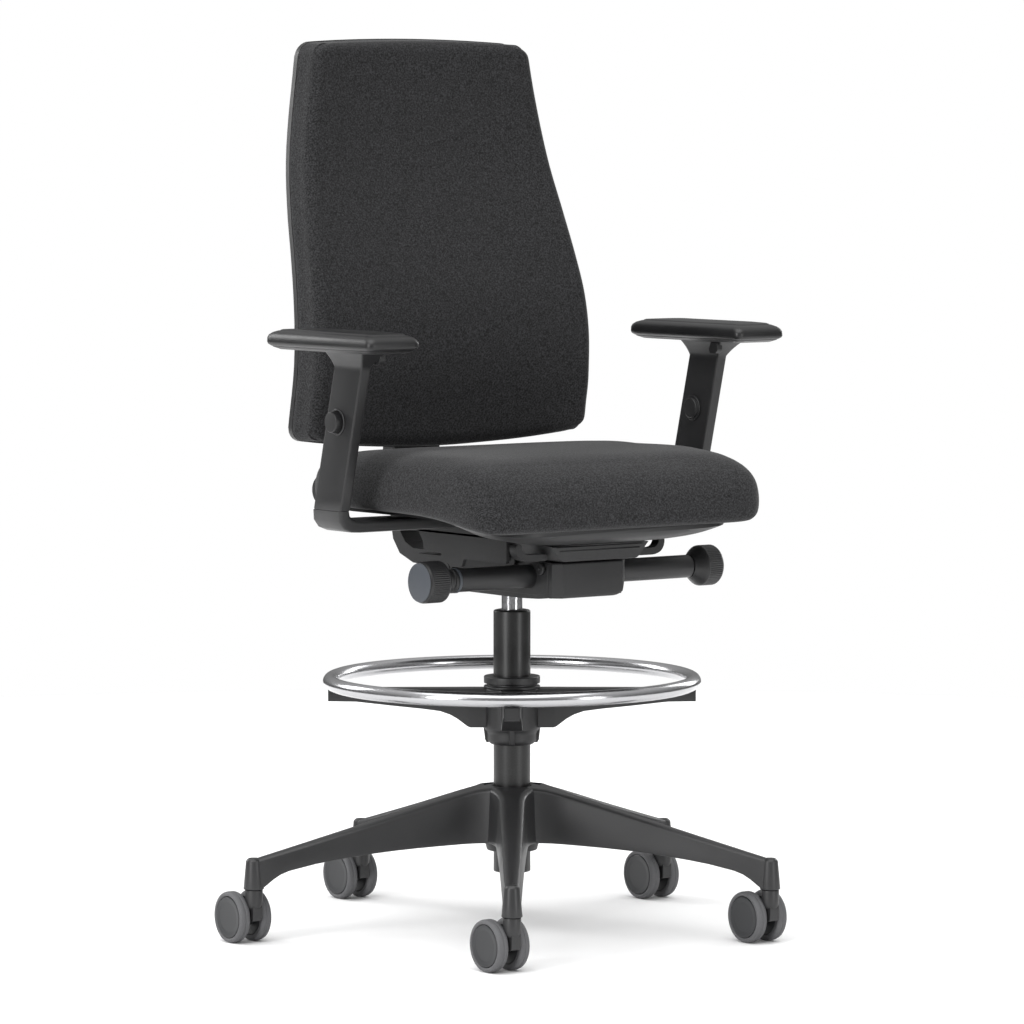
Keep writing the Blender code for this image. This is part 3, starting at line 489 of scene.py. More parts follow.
def build_foot_ring():
    middle_radius, tube_radius = 245.5, 9.8
    circle = [(middle_radius + tube_radius * math.cos(a), RING_LOW[2] / MM + tube_radius + tube_radius *
        math.sin(a)) for a in np.linspace(0, TURN, 28, endpoint=False)]
    piece("chrome_ring", turned([(r * MM, z * MM) for r, z in circle], 160, closed=True), "chromed_tube",
          "foot_ring", "foot_ring", angle=80)
    top = SPOKE_TOP / MM
    hub = lathe([(25.4, 255.6), (28, 255.6), (32.6, 259.4), (33.8, 262), (34, 270.5), (35, 273.5),
        (37.6, 276.5), (38, 279), (38, top - 1), (37, top), (25.4, top)], 1.2, 80)
    spokes = [laid(spoke(), spoke_turn(angle)) for angle in SPOKE_ANGLES]
    keys = []
    for angle in SPOKE_ANGLES:
        key = loft([[(x * MM, -reach * MM, z * MM) for x, reach in ((-4, 30), (4, 30), (3.4, out),
            (-3.4, out))] for z, out in ((258, 34.5), (262, 36.5), (280, 38.5), (298, 60))])
        keys.append(laid(key, spoke_turn(angle)))
    piece("ring_carrier", joined(hub, *spokes, *keys), "polypropylene", "foot_ring", "foot_ring_carrier",
          angle=40)
    low = top + 0.3
    lock = lathe([(25.4, low), (37.4, low), (38, low + 0.6), (38, low + 2.6), (37.4, low + 3.2),
        (34.2, low + 3.6), (34, low + 5), (34.2, low + 6.2), (37.4, low + 6.6), (38, low + 7.2),
        (38, low + 15.2), (37, low + 16.3), (28, low + 16.3), (25.4, low + 15.8)], 0.4, 96, steps=2)
    piece("lock_collar", lock, "polypropylene", "foot_ring_lock", "foot_ring_lock")


# Mechanism and its two control bars

BAR_Y, BAR_Z = -123 * MM, 494.8 * MM


def knurled(profile, low, high, radius, teeth=60):
    """A turned knob whose rim, between two heights, is cut into fine teeth."""
    bm = turned(profile, teeth * 2)
    for vert in bm.verts:
        out = math.hypot(vert.co.x, vert.co.y)
        if low * MM <= vert.co.z <= high * MM and out > (radius - 0.2) * MM:
            step = round(math.atan2(vert.co.y, vert.co.x) / (TURN / (teeth * 2)))
            if step % 2:
                vert.co.x *= 1 - 0.55 * MM / out
                vert.co.y *= 1 - 0.55 * MM / out
    return bm


def build_mechanism():
    refinish("turned_steel", "piston_rod", "thrust_bearing", "rod_clip", "tension_spring",
        *[f"caster_stem_{n}" for n in range(1, 6)])
    refinish("cast_aluminium_black", "mechanism_case", "back_pivot_pin", "seat_pivot_pin")
    # Front cover: corners cut off in plan, and the lower left corner rounded up
    sections = []
    for x in (-60, -57, -53, -49, -40, -20, 0, 20, 34, 40, 45, 49, 53, 57, 60):
        cut = max(0, abs(x) - 49)
        low = 468 + (0 if x < 34 else 26 * (1 - math.sqrt(max(0, 1 - ((x - 34) / 27) ** 2))))
        front = -183 + cut
        sections.append([(x * MM, y * MM, z * MM) for y, z in ease_corners(
            [(front, low), (-165.3, low), (-165.3, 515), (front, 515)], [4, 0.5, 0.5, 3], 4)])
    piece("front_cover", loft(sections), "polypropylene", "lift", "mechanism_cover", angle=28)
    for side, label in SIDES:
        cheek = [(-164, 474), (-164, 514), (-113, 514.5), (-101, 528), (-34, 528), (60, 513), (60, 500),
            (34, 478), (20, 470), (-140, 470)]
        piece(f"cheek_{label}", eased_plate(cheek, 4, 0, side * 55, side * 60.5), "cast_aluminium_black",
              "lift", bevel=1.0)
        # Ear and rivet beside each bar
        place = outward(side, -151 * MM, 506 * MM)
        ear = lathe([(0, 60.4), (8, 60.4), (8, 64.6), (7, 65.6), (0, 65.6)], 0.6, 40, closed=False)
        rivet = lathe([(0, 65.6), (2.6, 65.6), (2.2, 67), (0, 67.4)], 0.3, 24, closed=False)
        piece(f"case_ear_{label}", laid(ear, place), "cast_aluminium_black", "lift")
        piece(f"case_rivet_{label}", laid(rivet, place), "cast_aluminium_black", "lift")
    belly = eased_plate([(-164.6, 468), (-140, 465.4), (-100, 463.8), (36, 463.8), (66, 471.4), (66, 476),
        (-164.6, 476)], 6, 0, -58.6, 58.6)
    piece("case_belly", belly, "cast_aluminium_black", "lift", bevel=3.0, segments=4)
    for name, lay, node, end in (("left_bar", along_x(BAR_Y, BAR_Z), "lift_bar", 204.9),
            ("right_bar", toward_right(BAR_Y, BAR_Z), "tension_bar", 179.9)):
        tube = lathe([(6.4, 51.6), (14.6, 51.6), (15.5, 52.6), (15.5, end - 2), (14.8, end), (6.4, end)],
            0.8, 64)
        piece(name, laid(tube, lay), "polypropylene", "lift", node)
    left = ring_profile([(0, 150), (5.9, 150), (5.9, 205.4), (15.6, 205.4), (16.4, 207), (20, 212),
        (25.4, 218.5), (27.2, 221.5), (27.5, 223.4), (27.5, 243.6), (27.2, 244), (25.4, 246.9),
        (22, 246.9), (20.5, 246.2), (0, 246.2)], 0.5, closed=False, steps=2)
    piece("height_knob", laid(knurled(left, 223.2, 243.9, 27.5), along_x(BAR_Y, BAR_Z)),
          "polypropylene", "lift_knob", "lift_knob", angle=28)
    right = ring_profile([(0, 150), (5.9, 150), (5.9, 184.8), (15.2, 184.8), (16.2, 185.4), (16.4, 189.6),
        (14.6, 190.6), (14.6, 193.4), (16, 194.2), (16, 197.6), (14.4, 198.6), (14.4, 200.6),
        (24.8, 204.4), (27, 206.6), (27.5, 208), (27.5, 233.4), (27.2, 235), (26, 237.8), (0, 237.8)],
        0.5, closed=False, steps=2)
    piece("tilt_knob", laid(knurled(right, 207.8, 233.6, 27.5), toward_right(BAR_Y, BAR_Z)),
          "polypropylene", "tension_knob", "tension_knob", angle=28)
    cap = lathe([(0, 238.1), (25.4, 238.1), (25.8, 238.8), (25.2, 239.3), (0, 239.3)], 0.4, 96,
        closed=False, steps=2)
    piece("knob_disc", laid(cap, toward_right(BAR_Y, BAR_Z)), "blue_grey_abs", "tension_knob",
          "tension_knob_cap")
    mark = lathe([(5.9, 180.4), (16.2, 180.4), (16.6, 180.8), (16.6, 184.2), (16.2, 184.6), (5.9, 184.6)],
        0.3, 64, steps=2)
    piece("scale_ring", laid(mark, toward_right(BAR_Y, BAR_Z)), "blue_grey_abs", "tension_knob")


# Seat

def seat_floor(y):
    return eased(y, (-262, -240, -210, -150, -90, -50), (561, 562, 566, 574, 578.5, 579))


def build_seat_frame():
    # Carrier: a plate with a tapered nose, stepped cheeks and bent hooks up to the pan
    outline = [(-94, -112), (-84, -125), (84, -125), (94, -112), (94, 120), (-94, 120)]
    tray = eased_plate(outline, 4, 2, 543, 554.6)
    nose = []
    for y, top in ((-198, 539.5), (-128, 539.5), (-124, 546), (-112, 546)):
        nose.append([(x * MM, y * MM, z * MM) for x, z in ease_corners(
            [(-62.5, 518), (62.5, 518), (81, top), (-81, top)], [4, 4, 1, 1])])
    nose = loft(nose)
    bmesh.ops.bevel(nose, geom=[e for e in nose.edges if all(v.co.y < -0.197 for v in e.verts)],
        offset=1.6 * MM, segments=2, profile=0.5, affect="EDGES", material=-1)
    shapes = [tray, nose]
    for z in (531, 536):        # pressed ribs across the nose
        shapes.append(block((-66 - (z - 531), 66 + (z - 531)), (-199.2, -196), (z, z + 1.6), 0.6, 2))
    for side in (-1, 1):
        ear = [(-98, 508), (-85, 504), (-72, 508), (-64, 530), (-52, 548), (-104, 548), (-102, 530)]
        shapes.append(eased_plate(ear, 4, 0, side * 61, side * 67.8))
        cheek = [(-117, 512), (-20, 512), (-14, 500), (12, 500), (16, 503), (30, 511), (34, 517),
            (46, 518), (73, 518), (75, 530), (88, 546), (-117, 546)]
        shapes.append(eased_plate(cheek, 2.5, 0, side * 89, side * 94))
        hook = [(72, 519), (106, 519), (117, 523), (122.5, 532), (122.5, 542.5), (113.5, 542.5),
            (113, 535), (107, 528.5), (72, 528)]
        shapes.append(eased_plate([(side * x, z) for x, z in hook], 5, 1, -178, -163, steps=4))
    piece("seat_carrier_plate", joined(*shapes), "cast_aluminium_black", "seat_tilt", "seat_carrier",
          bevel=0.8, segments=2)
    # Pan: a shallow moulded dish whose rim follows the cushion
    sections = []
    for y in list(np.linspace(-249, -120, 26)) + list(np.linspace(-110, 160, 14)):
        half = eased(y, (-249, -240, -225, -200, -150, 0, 120, 145, 160), (138, 166, 186, 196, 202, 205,
            200, 190, 176))
        depth = float(np.interp(y, (-249, -244, -230, -210, -195, -160, -152, -132, -127, 0, 160),
            (6, 12, 20, 26, 28, 32, 28, 11, 7, 7, 6)))
        top = seat_floor(y) + 1.2
        under = []
        for share in np.linspace(-1, 1, 41):
            under.append((share * half, top - depth + abs(share) ** 4 * (depth - 5)))
        loop = under + [(half - 1.5, top), (1.5 - half, top)]
        sections.append([(x * MM, y * MM, z * MM) for x, z in loop])
    piece("seat_dish", loft(sections), "polypropylene", "seat_slide", "seat_pan", angle=50)
    rails = [block(sorted((side * 30, side * 50)), (-110, 100), (555, 575), 1.5) for side in (-1, 1)]
    piece("seat_rails", joined(*rails), "polypropylene", "seat_slide")


def swollen(shape, name, held, reach, pressure=4.0, voxel=0.0):
    """Foam under a tight cover: the block, remeshed evenly if voxel is given, is inflated as cloth, with
    its fixed parts pinned and no point moving further than reach."""
    obj = as_object(shape, name)
    if voxel:
        remesh = obj.modifiers.new("even", "REMESH")
        remesh.mode, remesh.voxel_size, remesh.use_smooth_shade = "VOXEL", voxel * MM, True
        bake(obj)
    start = np.empty(len(obj.data.vertices) * 3)
    obj.data.vertices.foreach_get("co", start)
    start = start.reshape(-1, 3)
    fixed = [i for i, point in enumerate(start) if held(*(point / MM))]
    pins = obj.vertex_groups.new(name="held")
    pins.add(fixed, 1.0, "REPLACE")
    cloth = obj.modifiers.new("cover", "CLOTH")
    settings = cloth.settings
    settings.quality, settings.mass = 6, 0.3
    settings.tension_stiffness = settings.compression_stiffness = 40
    settings.shear_stiffness, settings.bending_stiffness = 20, 8
    settings.use_pressure, settings.uniform_pressure_force = True, pressure
    settings.effector_weights.gravity = 0
    settings.vertex_group_mass = "held"
    cloth.collision_settings.use_collision = False
    scene = bpy.context.scene
    cloth.point_cache.frame_start, cloth.point_cache.frame_end = 1, 20
    for step in range(1, 21):
        scene.frame_set(step)
    bake(obj)
    scene.frame_set(1)
    end = np.empty(len(obj.data.vertices) * 3)
    obj.data.vertices.foreach_get("co", end)
    moved = end.reshape(-1, 3) - start
    length = np.linalg.norm(moved, axis=1, keepdims=True)
    moved *= np.minimum(1, reach * MM / np.maximum(length, 1e-9))
    # A cover drawn tight over foam has no small folds: each point moves with its neighbours
    edges = np.empty(len(obj.data.edges) * 2, dtype=np.int64)
    obj.data.edges.foreach_get("vertices", edges)
    a, b = edges.reshape(-1, 2).T
    count = np.bincount(edges, minlength=len(start))[:, None]
    for _ in range(30):
        total = np.zeros_like(moved)
        np.add.at(total, a, moved[b])
        np.add.at(total, b, moved[a])
        moved = 0.4 * moved + 0.6 * total / count
        moved[fixed] = 0
    obj.data.vertices.foreach_set("co", (start + moved).ravel())
    shape = bmesh.new()
    shape.from_mesh(obj.data)
    bpy.data.objects.remove(obj)
    if voxel:
        for _ in range(4):
            bmesh.ops.smooth_vert(shape, verts=shape.verts, factor=0.5, use_axis_x=True, use_axis_y=True,
                use_axis_z=True)
    return shape


def bake(obj):
    """Applies every modifier of a piece to its mesh."""
    bpy.context.view_layer.update()
    solved = obj.evaluated_get(bpy.context.evaluated_depsgraph_get())
    mesh = bpy.data.meshes.new_from_object(solved)
    obj.modifiers.clear()
    obj.data = mesh


def bored(shape, tool):
    """Cuts one closed shape out of another."""
    blanks = [as_object(shape, "blank"), as_object(tool, "tool")]
    cut = blanks[0].modifiers.new("cut", "BOOLEAN")
    cut.operation, cut.solver, cut.object = "DIFFERENCE", "EXACT", blanks[1]
    bake(blanks[0])
    shape = bmesh.new()
    shape.from_mesh(blanks[0].data)
    for blank in blanks:
        bpy.data.objects.remove(blank)
    return shape


def subdivided(obj):
    level = obj.modifiers.new("smooth", "SUBSURF")
    level.levels = level.render_levels = 1
    return obj


def build_seat_cushion(looks):
    """Waterfall front, full front corners and sides that tuck under toward the pan."""
    sections = []
    stations = (-264, -262, -257, -248, -237, -222, -205, -185, -160, -130, -100, -60, -20, 20, 60, 100,
        130, 150, 163, 171, 176, 178)
    for y in stations:
        half = eased(y, (-264, -256, -240, -215, -150, 40, 100, 140, 165, 178), (200, 222, 234, 238, 240,
            240, 236, 226, 208, 186))
        top = eased(y, (-264, -256, -245, -226, -200, -160, -60, 60, 120, 155, 172, 178),
            (607, 622, 633, 643, 650, 654, 656, 653, 648, 640, 627, 612))
        low = seat_floor(y) + float(np.interp(y, (-264, -256, -248, 160, 170, 178), (10, 2, 0, 0, 4, 14)))
        tall = top - low
        right = [(0.62 * half, low), (half - 14, low), (half - 1, low + 0.14 * tall),
            (half + 1, low + 0.5 * tall), (half - 4, low + 0.84 * tall), (half - 26, low + 0.99 * tall),
            (0.66 * half, top), (0.3 * half, top)]
        outline = right + [(-x, z) for x, z in reversed(right)]
        outline = ease_corners([(x * MM, z * MM) for x, z in outline], 60 * MM, 3)
        sections.append([(x, y * MM, z) for x, z in outline])
    shape = swollen(loft(sections), "seat_foam", lambda x, y, z: z < seat_floor(y) + 4, looks.swell,
        voxel=6)
    pad = piece("seat_upholstery", shape, "woven_cloth", "seat_slide", "seat_cushion", angle=179)
    subdivided(pad)


# Backrest

BACK_LEVELS = (668, 700, 730, 757, 800, 860, 910, 970, 1040, 1110, 1150, 1203)
BACK_MIDDLES = (175, 169, 163, 160, 159, 166, 179, 198, 218, 228, 231, 234)
BACK_HALVES = (234, 234, 234, 233, 232, 229, 224, 217, 206, 194, 187, 179)
LOW_EDGE, HIGH_EDGE = BACK_LEVELS[0] - 5, BACK_LEVELS[-1]


def back_middle(z):
    return eased(z, BACK_LEVELS, BACK_MIDDLES)


def back_outline(z, trim, corner):
    """At a level, half the backrest's width with its corners rounded, and how far its nearer end is."""
    reach = min(z - (LOW_EDGE + trim), HIGH_EDGE - trim - z)
    lost = corner - math.sqrt(max(corner ** 2 - max(corner - reach, 0) ** 2, 0))
    return eased(z, BACK_LEVELS, BACK_HALVES) - trim - lost, reach


def back_bow(z, span):
    """How far the middle of a level is bent down or up, near the ends of the backrest."""
    return float(np.interp(z, (LOW_EDGE, LOW_EDGE + span, HIGH_EDGE - span, HIGH_EDGE), (-14, 0, 0, 5)))


def shell_level(z):
    """One level of the shell: an outline that wraps round the sitter."""
    front, rear, corner = 21, 29.8, 22
    half = back_outline(z, 0, corner)[0]
    middle_y, bow = back_middle(z), back_bow(z, 70)
    shares = np.linspace(-1, 1, 21)
    row = [(share, front) for share in shares] + [(share, rear) for share in reversed(shares)]
    return [Vector((share * half, middle_y + (depth - 10 * share ** 2), z + bow * (1 - share ** 2))) * MM
        for share, depth in row]


def spaced(low, high, near, inset, count):
    """Heights from low to high, closer together toward both ends."""
    return [low + d for d in near] + list(np.linspace(low + inset, high - inset, count)) + \
        [high - d for d in reversed(near)]


def build_back_frame():
    levels = spaced(LOW_EDGE, HIGH_EDGE, (0.0, 0.6, 2, 4.5, 8, 13, 20, 30), 45, 24)
    piece("back_cover", loft([shell_level(z) for z in levels]), "polypropylene", "back_height",
        "back_shell", bevel=2.0, angle=50)
    sleeve = []
    for z in np.linspace(626, 784, 14):
        front = max(back_middle(z) + 30.5, 190) if z > 664 else 222
        sleeve.append([(x * MM, y * MM, z * MM) for x, y in ease_corners([(-39.5, front), (39.5, front),
            (39.5, 251.6), (-39.5, 251.6)], 5)])
    piece("post_sleeve", loft(sleeve), "polypropylene", "back_height", "back_sleeve", bevel=2.0)
    refinish("cast_aluminium_black", "back_lever")
    knob = ring_profile([(0, 100), (5.9, 100), (5.9, 140.4), (14, 140.4), (19, 142), (21, 144), (21, 151),
        (18, 154.4), (0, 154.9)], 0.6, closed=False, steps=2)
    piece("height_lock_knob", laid(knurled(knob, 143.5, 151.5, 21, 36), toward_right(235 * MM, 592 * MM)),
          "polypropylene", "back_knob", "back_knob")


def cushion_level(z):
    """One level of the upholstered panel: flat front, rounded edge, flank down to the seam."""
    trim, front, rear, edge, corner = 0.5, -29.2, 20.8, 16.0, 21.0
    half, reach = back_outline(z, trim, corner)
    bow = back_bow(z, 60)
    past_end = max(0, 1 - reach / edge)
    right = list(np.linspace(0, half - edge, 22)) + [half - edge + edge * math.sin(math.radians(angle))
        for angle in (16, 32, 48, 62, 76, 90)]
    row = [-x for x in reversed(right[1:])] + right
    loop = []
    for x in row:
        past = min(1, math.hypot(max(0, abs(x) - half + edge) / edge, past_end))
        loop.append((x, front + edge * (1 - math.sqrt(1 - past ** 2))))
    flank = list(np.linspace(front + edge, rear, 7))[1:-1]
    loop += [(half, depth) for depth in flank]
    loop += [(x, rear) for x in reversed(row)]
    loop += [(-half, depth) for depth in reversed(flank)]
    return [Vector((x, back_middle(z) + depth - 10 * (x / half) ** 2, z + bow * (1 - (x / half) ** 2))) *
        MM for x, depth in loop]


def build_back_cushion(looks):
    """A foam panel that follows the spine, its cover drawn to a seam along the shell's edge."""
    levels = spaced(LOW_EDGE + 0.5, HIGH_EDGE - 0.5, (0, 0.6, 2, 4, 7, 11, 15, 20), 28, 62)

    def held(x, y, z):
        return y > back_middle(z) + 12 - 10 * min(1, abs(x) / 234) ** 2
    shape = swollen(loft([cushion_level(z) for z in levels]), "back_foam", held, looks.swell)
    pad = piece("back_upholstery", shape, "woven_cloth", "back_height", "back_cushion", angle=179)
    subdivided(pad)


# Armrests

LEAN, LEAN_Y, LEAN_Z = 0.26, -47.5, 765.0


def lean(z):
    """How far back, in millimetres, the leaning post stands at a height."""
    return LEAN_Y + LEAN * (LEAN_Z - z)


def build_arm(side, label):
    out = 294.5
    # Bracket: one bent bar that runs in under the seat
    path = [(62, 563, 16, 32), (150, 563, 16, 32), (240, 563, 16, 32.5), (262, 563, 16, 32.8),
        (275, 564, 16.6, 33), (285.5, 568, 17.2, 33), (292, 575, 16.8, 33), (294.5, 584.7, 16, 33)]
    sections = []
    for i, (x, z, thick, half_y) in enumerate(path):
        before, after = path[max(i - 1, 0)], path[min(i + 1, len(path) - 1)]
        along = Vector((after[0] - before[0], after[1] - before[1])).normalized()
        if i == len(path) - 1:
            along = Vector((0, 1))
        if i < 3:
            along = Vector((1, 0))
        across = Vector((-along.y, along.x))
        loop = []
        for a, b in ease_corners([(-thick / 2, -half_y), (thick / 2, -half_y), (thick / 2, half_y),
                (-thick / 2, half_y)], 5):
            point = Vector((x, z)) + across * a
            loop.append((side * point.x * MM, (b + lean(point.y)) * MM, point.y * MM))
        sections.append(loop)
    upright = block(sorted((side * (out - 4.4), side * (out + 4.4))), (-24.8, 24.8), (575, 745), 1.5)
    for vert in upright.verts:
        vert.co.y += lean(vert.co.z / MM) * MM
    piece(f"arm_bar_{label}", joined(loft(sections), upright), "polypropylene", "seat_tilt",
          f"arm_bracket_{label}", angle=40)
    # Sleeve: flat outer face, rounded edges, flaring into the head under the pad
    sections = []
    for z in (585, 586.5, 600, 640, 690, 740, 770, 775, 778, 781, 784, 787, 790, 792.5, 795.1):
        flare = max(0, z - 775) / 20.1
        flare = 0.35 * flare ** 2 + 0.65 * flare
        tuck = 0.6 * max(0, 586.5 - z) / 1.5
        half_x, front, rear = 8 + 12 * flare - tuck, 33 + 15 * flare - tuck, 33 + 10 * flare - tuck
        sections.append([(side * (out + x) * MM, (y + lean(z)) * MM, z * MM) for x, y in ease_corners(
            [(-half_x, -front), (half_x, -front), (half_x, rear), (-half_x, rear)], [3, 3, 7, 7], 5)])
    shell = loft(sections)
    at_button = outward(side, (lean(702.5) + 3) * MM, 702.5 * MM)
    hole = lathe([(0, 298.6), (14.2, 298.6), (14.2, 312), (0, 312)], 0, 64, closed=False)
    shell = bored(shell, laid(hole, at_button))
    collar = lathe([(14.2, 301.6), (17.5, 301.6), (17.5, 303.8), (16.6, 304.6), (14.8, 304.6),
        (14.2, 304)], 0.4, 64)
    piece(f"arm_post_{label}", joined(shell, laid(collar, at_button)), "polypropylene",
          f"arm_height_{label}", f"arm_sleeve_{label}", angle=40)
    trigger = [(-4, 779), (8, 779), (10, 785), (6, 794.6), (-9, 794.6), (-9, 784)]
    trigger = eased_plate([(y + lean(785) - 36, z) for y, z in trigger], 2, 0, side * 274, side * 283)
    piece(f"pad_trigger_{label}", trigger, "polypropylene", f"arm_height_{label}", bevel=0.8)
    button = lathe([(0, 303.2), (13.9, 303.2), (13.9, 313), (12.9, 314.5), (0, 314.5)], 0.8, 64,
        closed=False)
    piece(f"height_button_{label}", laid(button, at_button), "polypropylene", f"arm_button_{label}",
          f"arm_button_{label}")
    plug = lathe([(0, 280.7), (12.9, 280.7), (13.9, 281.8), (13.9, 284.2), (16.6, 284.2), (17.4, 285),
        (17.4, 286.2), (0, 286.2)], 0.5, 64, closed=False)
    piece(f"post_plug_{label}", laid(plug, at_button), "polypropylene", f"arm_height_{label}",
          f"arm_cap_{label}")
    # Pad: a hard tray, and a soft skin whose raised middle ends in a crease
    x, y = side * 301.5, -35.0

    def rim(half_x, half_y, z, lift=0.0, nose=0.0):
        loop = []
        corners = [min(c, 0.8 * half_x) for c in (11, 11, 20, 20)]
        for a, b in ease_corners([(-half_x, -half_y), (half_x, -half_y), (half_x, half_y),
                (-half_x, half_y)], corners, 8):
            up = lift * (1 - (b / 125) ** 2) - nose * max(0, (-b - 75) / 50) ** 2
            loop.append(((x + a) * MM, (y + b) * MM, (z + up) * MM))
        return loop
    tray = loft([rim(a, b, z) for a, b, z in ((28, 108, 795.6), (30, 110, 795.6), (35.5, 119, 798.6),
        (36.2, 120, 799.6))])
    piece(f"pad_tray_{label}", tray, "polypropylene", f"pad_slide_{label}", f"arm_pad_base_{label}",
          angle=25)
    levels = ((34, 118, 799.9, 0, 0), (37, 121, 799.9, 0, 0), (40.2, 124.2, 802.6, 0, 0.5),
        (41, 125, 805.5, 0, 1), (40.8, 124.8, 811, 0, 1.4), (39.4, 123.2, 814.6, 0.4, 1.6),
        (36.4, 119, 817.6, 0.8, 1.8), (31.6, 113, 819.6, 1.2, 1.8), (29.8, 110.8, 819.8, 1.3, 1.8),
        (29.2, 110, 820.6, 1.4, 1.8), (27.6, 108, 821.3, 1.4, 1.7), (20, 90, 821.8, 1.5, 1.2),
        (10, 54, 822, 1.5, 0.4), (3, 28, 822, 1.5, 0))
    skin = loft([rim(*level) for level in levels])
    pad = piece(f"pad_skin_{label}", skin, "polyurethane_skin", f"pad_slide_{label}", f"arm_pad_{label}",
        angle=60)


# Light, floor and camera

FOCAL_LENGTH = 188.67                       # millimetres, before a frame 36 mm wide
CAMERA_PLACE = (-4.2396, -5.8354, 1.1058)   # metres from the column's foot
CAMERA_DIP, CAMERA_HEADING = 4.251, -36.0   # degrees below the horizon, and about the vertical


def build_stage(looks):
    bm = bmesh.new()
    bmesh.ops.create_circle(bm, cap_ends=True, segments=96, radius=3.0)
    floor = as_object(bm, "floor")
    material, tree, shader, where = start_material("painted_floor", Roughness=0.55)
    shader.inputs["Base Color"].default_value = rgba("#F8F8F8")
    shader.inputs["Specular IOR Level"].default_value = 0.0
    floor.data.materials.append(material)
    bpy.context.scene.view_settings.view_transform = "Standard"
    world = bpy.data.worlds.new("studio")
    world.use_nodes = True
    tree = world.node_tree
    # A light tent: bright overhead, grey toward the horizon, and seen directly it is plain white
    sight = add_node(tree, "TexCoord").outputs["Generated"]
    where = add_node(tree, "SeparateXYZ", {0: sight})
    height = add_node(tree, "MapRange", {"Value": where.outputs[2], "From Min": -0.05,
        "From Max": 0.75, "To Min": 0.16, "To Max": 1.15})
    tent = add_node(tree, "Math", {0: height, 1: looks.room_light}, operation="MULTIPLY")
    seen = add_node(tree, "LightPath").outputs["Is Camera Ray"]
    strength = add_node(tree, "Math", {0: tent, 1: seen}, operation="MAXIMUM")
    sky = tree.nodes["Background"]
    sky.inputs["Color"].default_value = rgba("#FFFFFF")
    tree.links.new(strength.outputs[0], sky.inputs["Strength"])
    bpy.context.scene.world = world
    sun = bpy.data.lights.new("overhead_light", "SUN")
    sun.energy, sun.angle = 2.3, math.radians(70)
    lamp = bpy.data.objects.new("overhead_light", sun)
    lamp.rotation_euler = (math.radians(12), math.radians(-14), 0)
    bpy.context.scene.collection.objects.link(lamp)
    # Upright strips to both sides of the viewer, and one behind for the rim
    for name, place, width, tall, power in (("left_strip", (-4.6, -1.0, 1.6), 1.0, 2.6, 105),
            ("right_strip", (1.0, -4.6, 0.9), 0.7, 2.0, 42), ("rim_strip", (-1.6, 3.8, 2.2), 1.2, 2.0,
            55), ("far_strip", (4.2, 1.2, 1.8), 0.9, 2.2, 40)):
        panel = bpy.data.lights.new(name, "AREA")
        panel.shape, panel.size, panel.size_y, panel.energy = "RECTANGLE", width, tall, power
        obj = bpy.data.objects.new(name, panel)
        obj.location = Vector(place) + COLUMN
        obj.rotation_euler = (Vector((0, 0, 0.7)) + COLUMN - obj.location).to_track_quat("-Z",
            "Y").to_euler()
        bpy.context.scene.collection.objects.link(obj)
    lens = bpy.data.cameras.new("camera")
    lens.sensor_width, lens.lens, lens.clip_end = 36.0, FOCAL_LENGTH, 100.0
    camera = bpy.data.objects.new("camera", lens)
    camera.location = Vector(CAMERA_PLACE) + COLUMN
    camera.rotation_euler = (math.radians(90 - CAMERA_DIP), 0.0, math.radians(CAMERA_HEADING))
    bpy.context.scene.collection.objects.link(camera)
    bpy.context.scene.camera = camera


# Settings, operators and panel

class ChairLooks(bpy.types.PropertyGroup):
    """Sizes and colours that may be changed before the chair is built."""

    def colour(name, description, code):
        return bpy.props.FloatVectorProperty(name=name, description=description, default=linear(code),
            size=3, subtype="COLOR", min=0.0, max=1.0)

    cloth_dark: colour("Dark yarn", "Colour of the darker yarn in the weave", "#141414")
    cloth_light: colour("Light yarn", "Colour of the lighter yarn in the weave", "#424244")
    plastic_colour: colour("Plastic", "Colour of the moulded polypropylene pieces", "#1B1B1C")
    nylon_colour: colour("Base", "Colour of the nylon base and caster housings", "#1E1E1F")
    tread_colour: colour("Tread", "Colour of the caster treads", "#4F4F51")
    weave_pitch: bpy.props.FloatProperty(name="Weave pitch", description="Distance from yarn to yarn",
        default=2.2 * MM, min=0.5 * MM, max=6 * MM, precision=4, unit="LENGTH")
    swell: bpy.props.FloatProperty(name="Swell", description="How far the foam may swell, in millimetres",
        default=4.5, min=0.0, max=12.0)
    room_light: bpy.props.FloatProperty(name="Room light",
        description="Strength of the surrounding light", default=0.62, min=0.0, max=3.0)


def looks_of(context):
    return context.scene.chair_looks


class CHAIR_OT_stage(bpy.types.Operator):
    """Pale floor, soft lights and the camera"""
    bl_idname = "chair.stage"
    bl_label = "Stage"

    def execute(self, context):
        build_stage(looks_of(context))
        return {"FINISHED"}


class CHAIR_OT_finishes(bpy.types.Operator):
    """Every material of the chair"""
    bl_idname = "chair.finishes"
    bl_label = "Finishes"

    def execute(self, context):
        make_materials(looks_of(context))
        return {"FINISHED"}


class CHAIR_OT_base(bpy.types.Operator):
    """Five-arm base"""
    bl_idname = "chair.base"
    bl_label = "Base"

    def execute(self, context):
        build_star()
        return {"FINISHED"}


class CHAIR_OT_casters(bpy.types.Operator):
    """Five twin-wheel casters"""
    bl_idname = "chair.casters"
    bl_label = "Casters"

    def execute(self, context):
        build_casters()
        return {"FINISHED"}


class CHAIR_OT_column(bpy.types.Operator):
    """Column tube, its bush and the gas cylinder"""
    bl_idname = "chair.column"
    bl_label = "Column"

    def execute(self, context):
        build_column()
        return {"FINISHED"}


class CHAIR_OT_foot_ring(bpy.types.Operator):
    """Chromed ring, its carrier and the locking collar"""
    bl_idname = "chair.foot_ring"
    bl_label = "Foot ring"

    def execute(self, context):
        build_foot_ring()
        return {"FINISHED"}


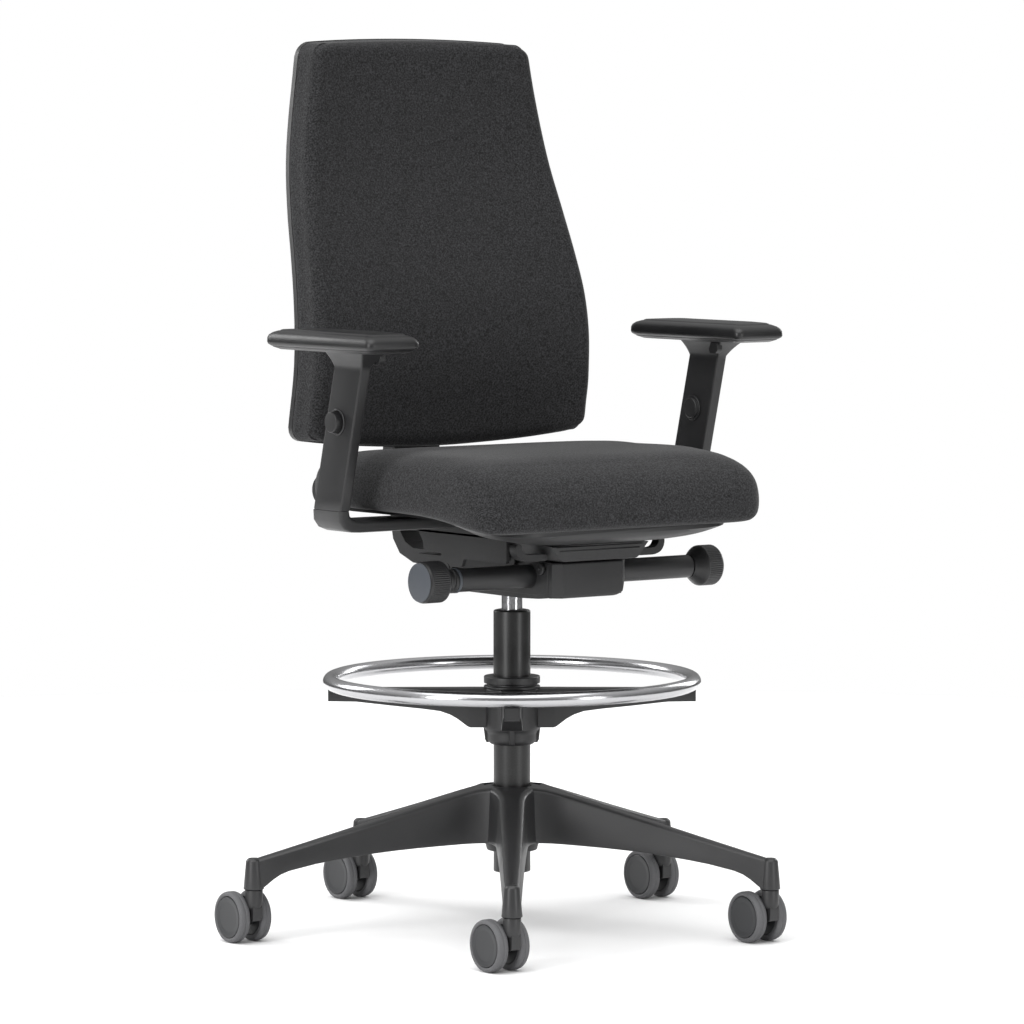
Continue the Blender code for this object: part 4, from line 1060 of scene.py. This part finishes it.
class CHAIR_OT_mechanism(bpy.types.Operator):
    """Tilt mechanism, control bars and knobs"""
    bl_idname = "chair.mechanism"
    bl_label = "Mechanism"

    def execute(self, context):
        build_mechanism()
        return {"FINISHED"}


class CHAIR_OT_seat_frame(bpy.types.Operator):
    """Seat carrier, rails and pan"""
    bl_idname = "chair.seat_frame"
    bl_label = "Seat frame"

    def execute(self, context):
        build_seat_frame()
        return {"FINISHED"}


class CHAIR_OT_seat_cushion(bpy.types.Operator):
    """Upholstered seat cushion"""
    bl_idname = "chair.seat_cushion"
    bl_label = "Seat cushion"

    def execute(self, context):
        build_seat_cushion(looks_of(context))
        return {"FINISHED"}


class CHAIR_OT_back_frame(bpy.types.Operator):
    """Backrest shell, sleeve and height knob"""
    bl_idname = "chair.back_frame"
    bl_label = "Back frame"

    def execute(self, context):
        build_back_frame()
        return {"FINISHED"}


class CHAIR_OT_back_cushion(bpy.types.Operator):
    """Upholstered back cushion"""
    bl_idname = "chair.back_cushion"
    bl_label = "Back cushion"

    def execute(self, context):
        build_back_cushion(looks_of(context))
        return {"FINISHED"}


class CHAIR_OT_armrests(bpy.types.Operator):
    """Both armrests"""
    bl_idname = "chair.armrests"
    bl_label = "Armrests"

    def execute(self, context):
        for side, label in SIDES:
            build_arm(side, label)
        return {"FINISHED"}


STEPS = (CHAIR_OT_stage, CHAIR_OT_finishes, CHAIR_OT_base, CHAIR_OT_casters, CHAIR_OT_column,
    CHAIR_OT_foot_ring, CHAIR_OT_mechanism, CHAIR_OT_seat_frame, CHAIR_OT_seat_cushion,
    CHAIR_OT_back_frame, CHAIR_OT_back_cushion, CHAIR_OT_armrests)


class CHAIR_PT_panel(bpy.types.Panel):
    """The chair's settings and building steps"""
    bl_label = "Drafting Chair"
    bl_idname = "CHAIR_PT_panel"
    bl_space_type = "VIEW_3D"
    bl_region_type = "UI"
    bl_category = "Chair"

    def draw(self, context):
        looks = looks_of(context)
        for name in ChairLooks.__annotations__:
            self.layout.prop(looks, name)
        for step in STEPS:
            self.layout.operator(step.bl_idname)


CLASSES = (ChairLooks, *STEPS, CHAIR_PT_panel)


def register():
    for cls in CLASSES:
        bpy.utils.register_class(cls)
    bpy.types.Scene.chair_looks = bpy.props.PointerProperty(type=ChairLooks)


def unregister():
    del bpy.types.Scene.chair_looks
    for cls in reversed(CLASSES):
        bpy.utils.unregister_class(cls)


def main():
    register()
    for step in STEPS:
        group, name = step.bl_idname.split(".")
        getattr(getattr(bpy.ops, group), name)()


if __name__ == "__main__":
    main()
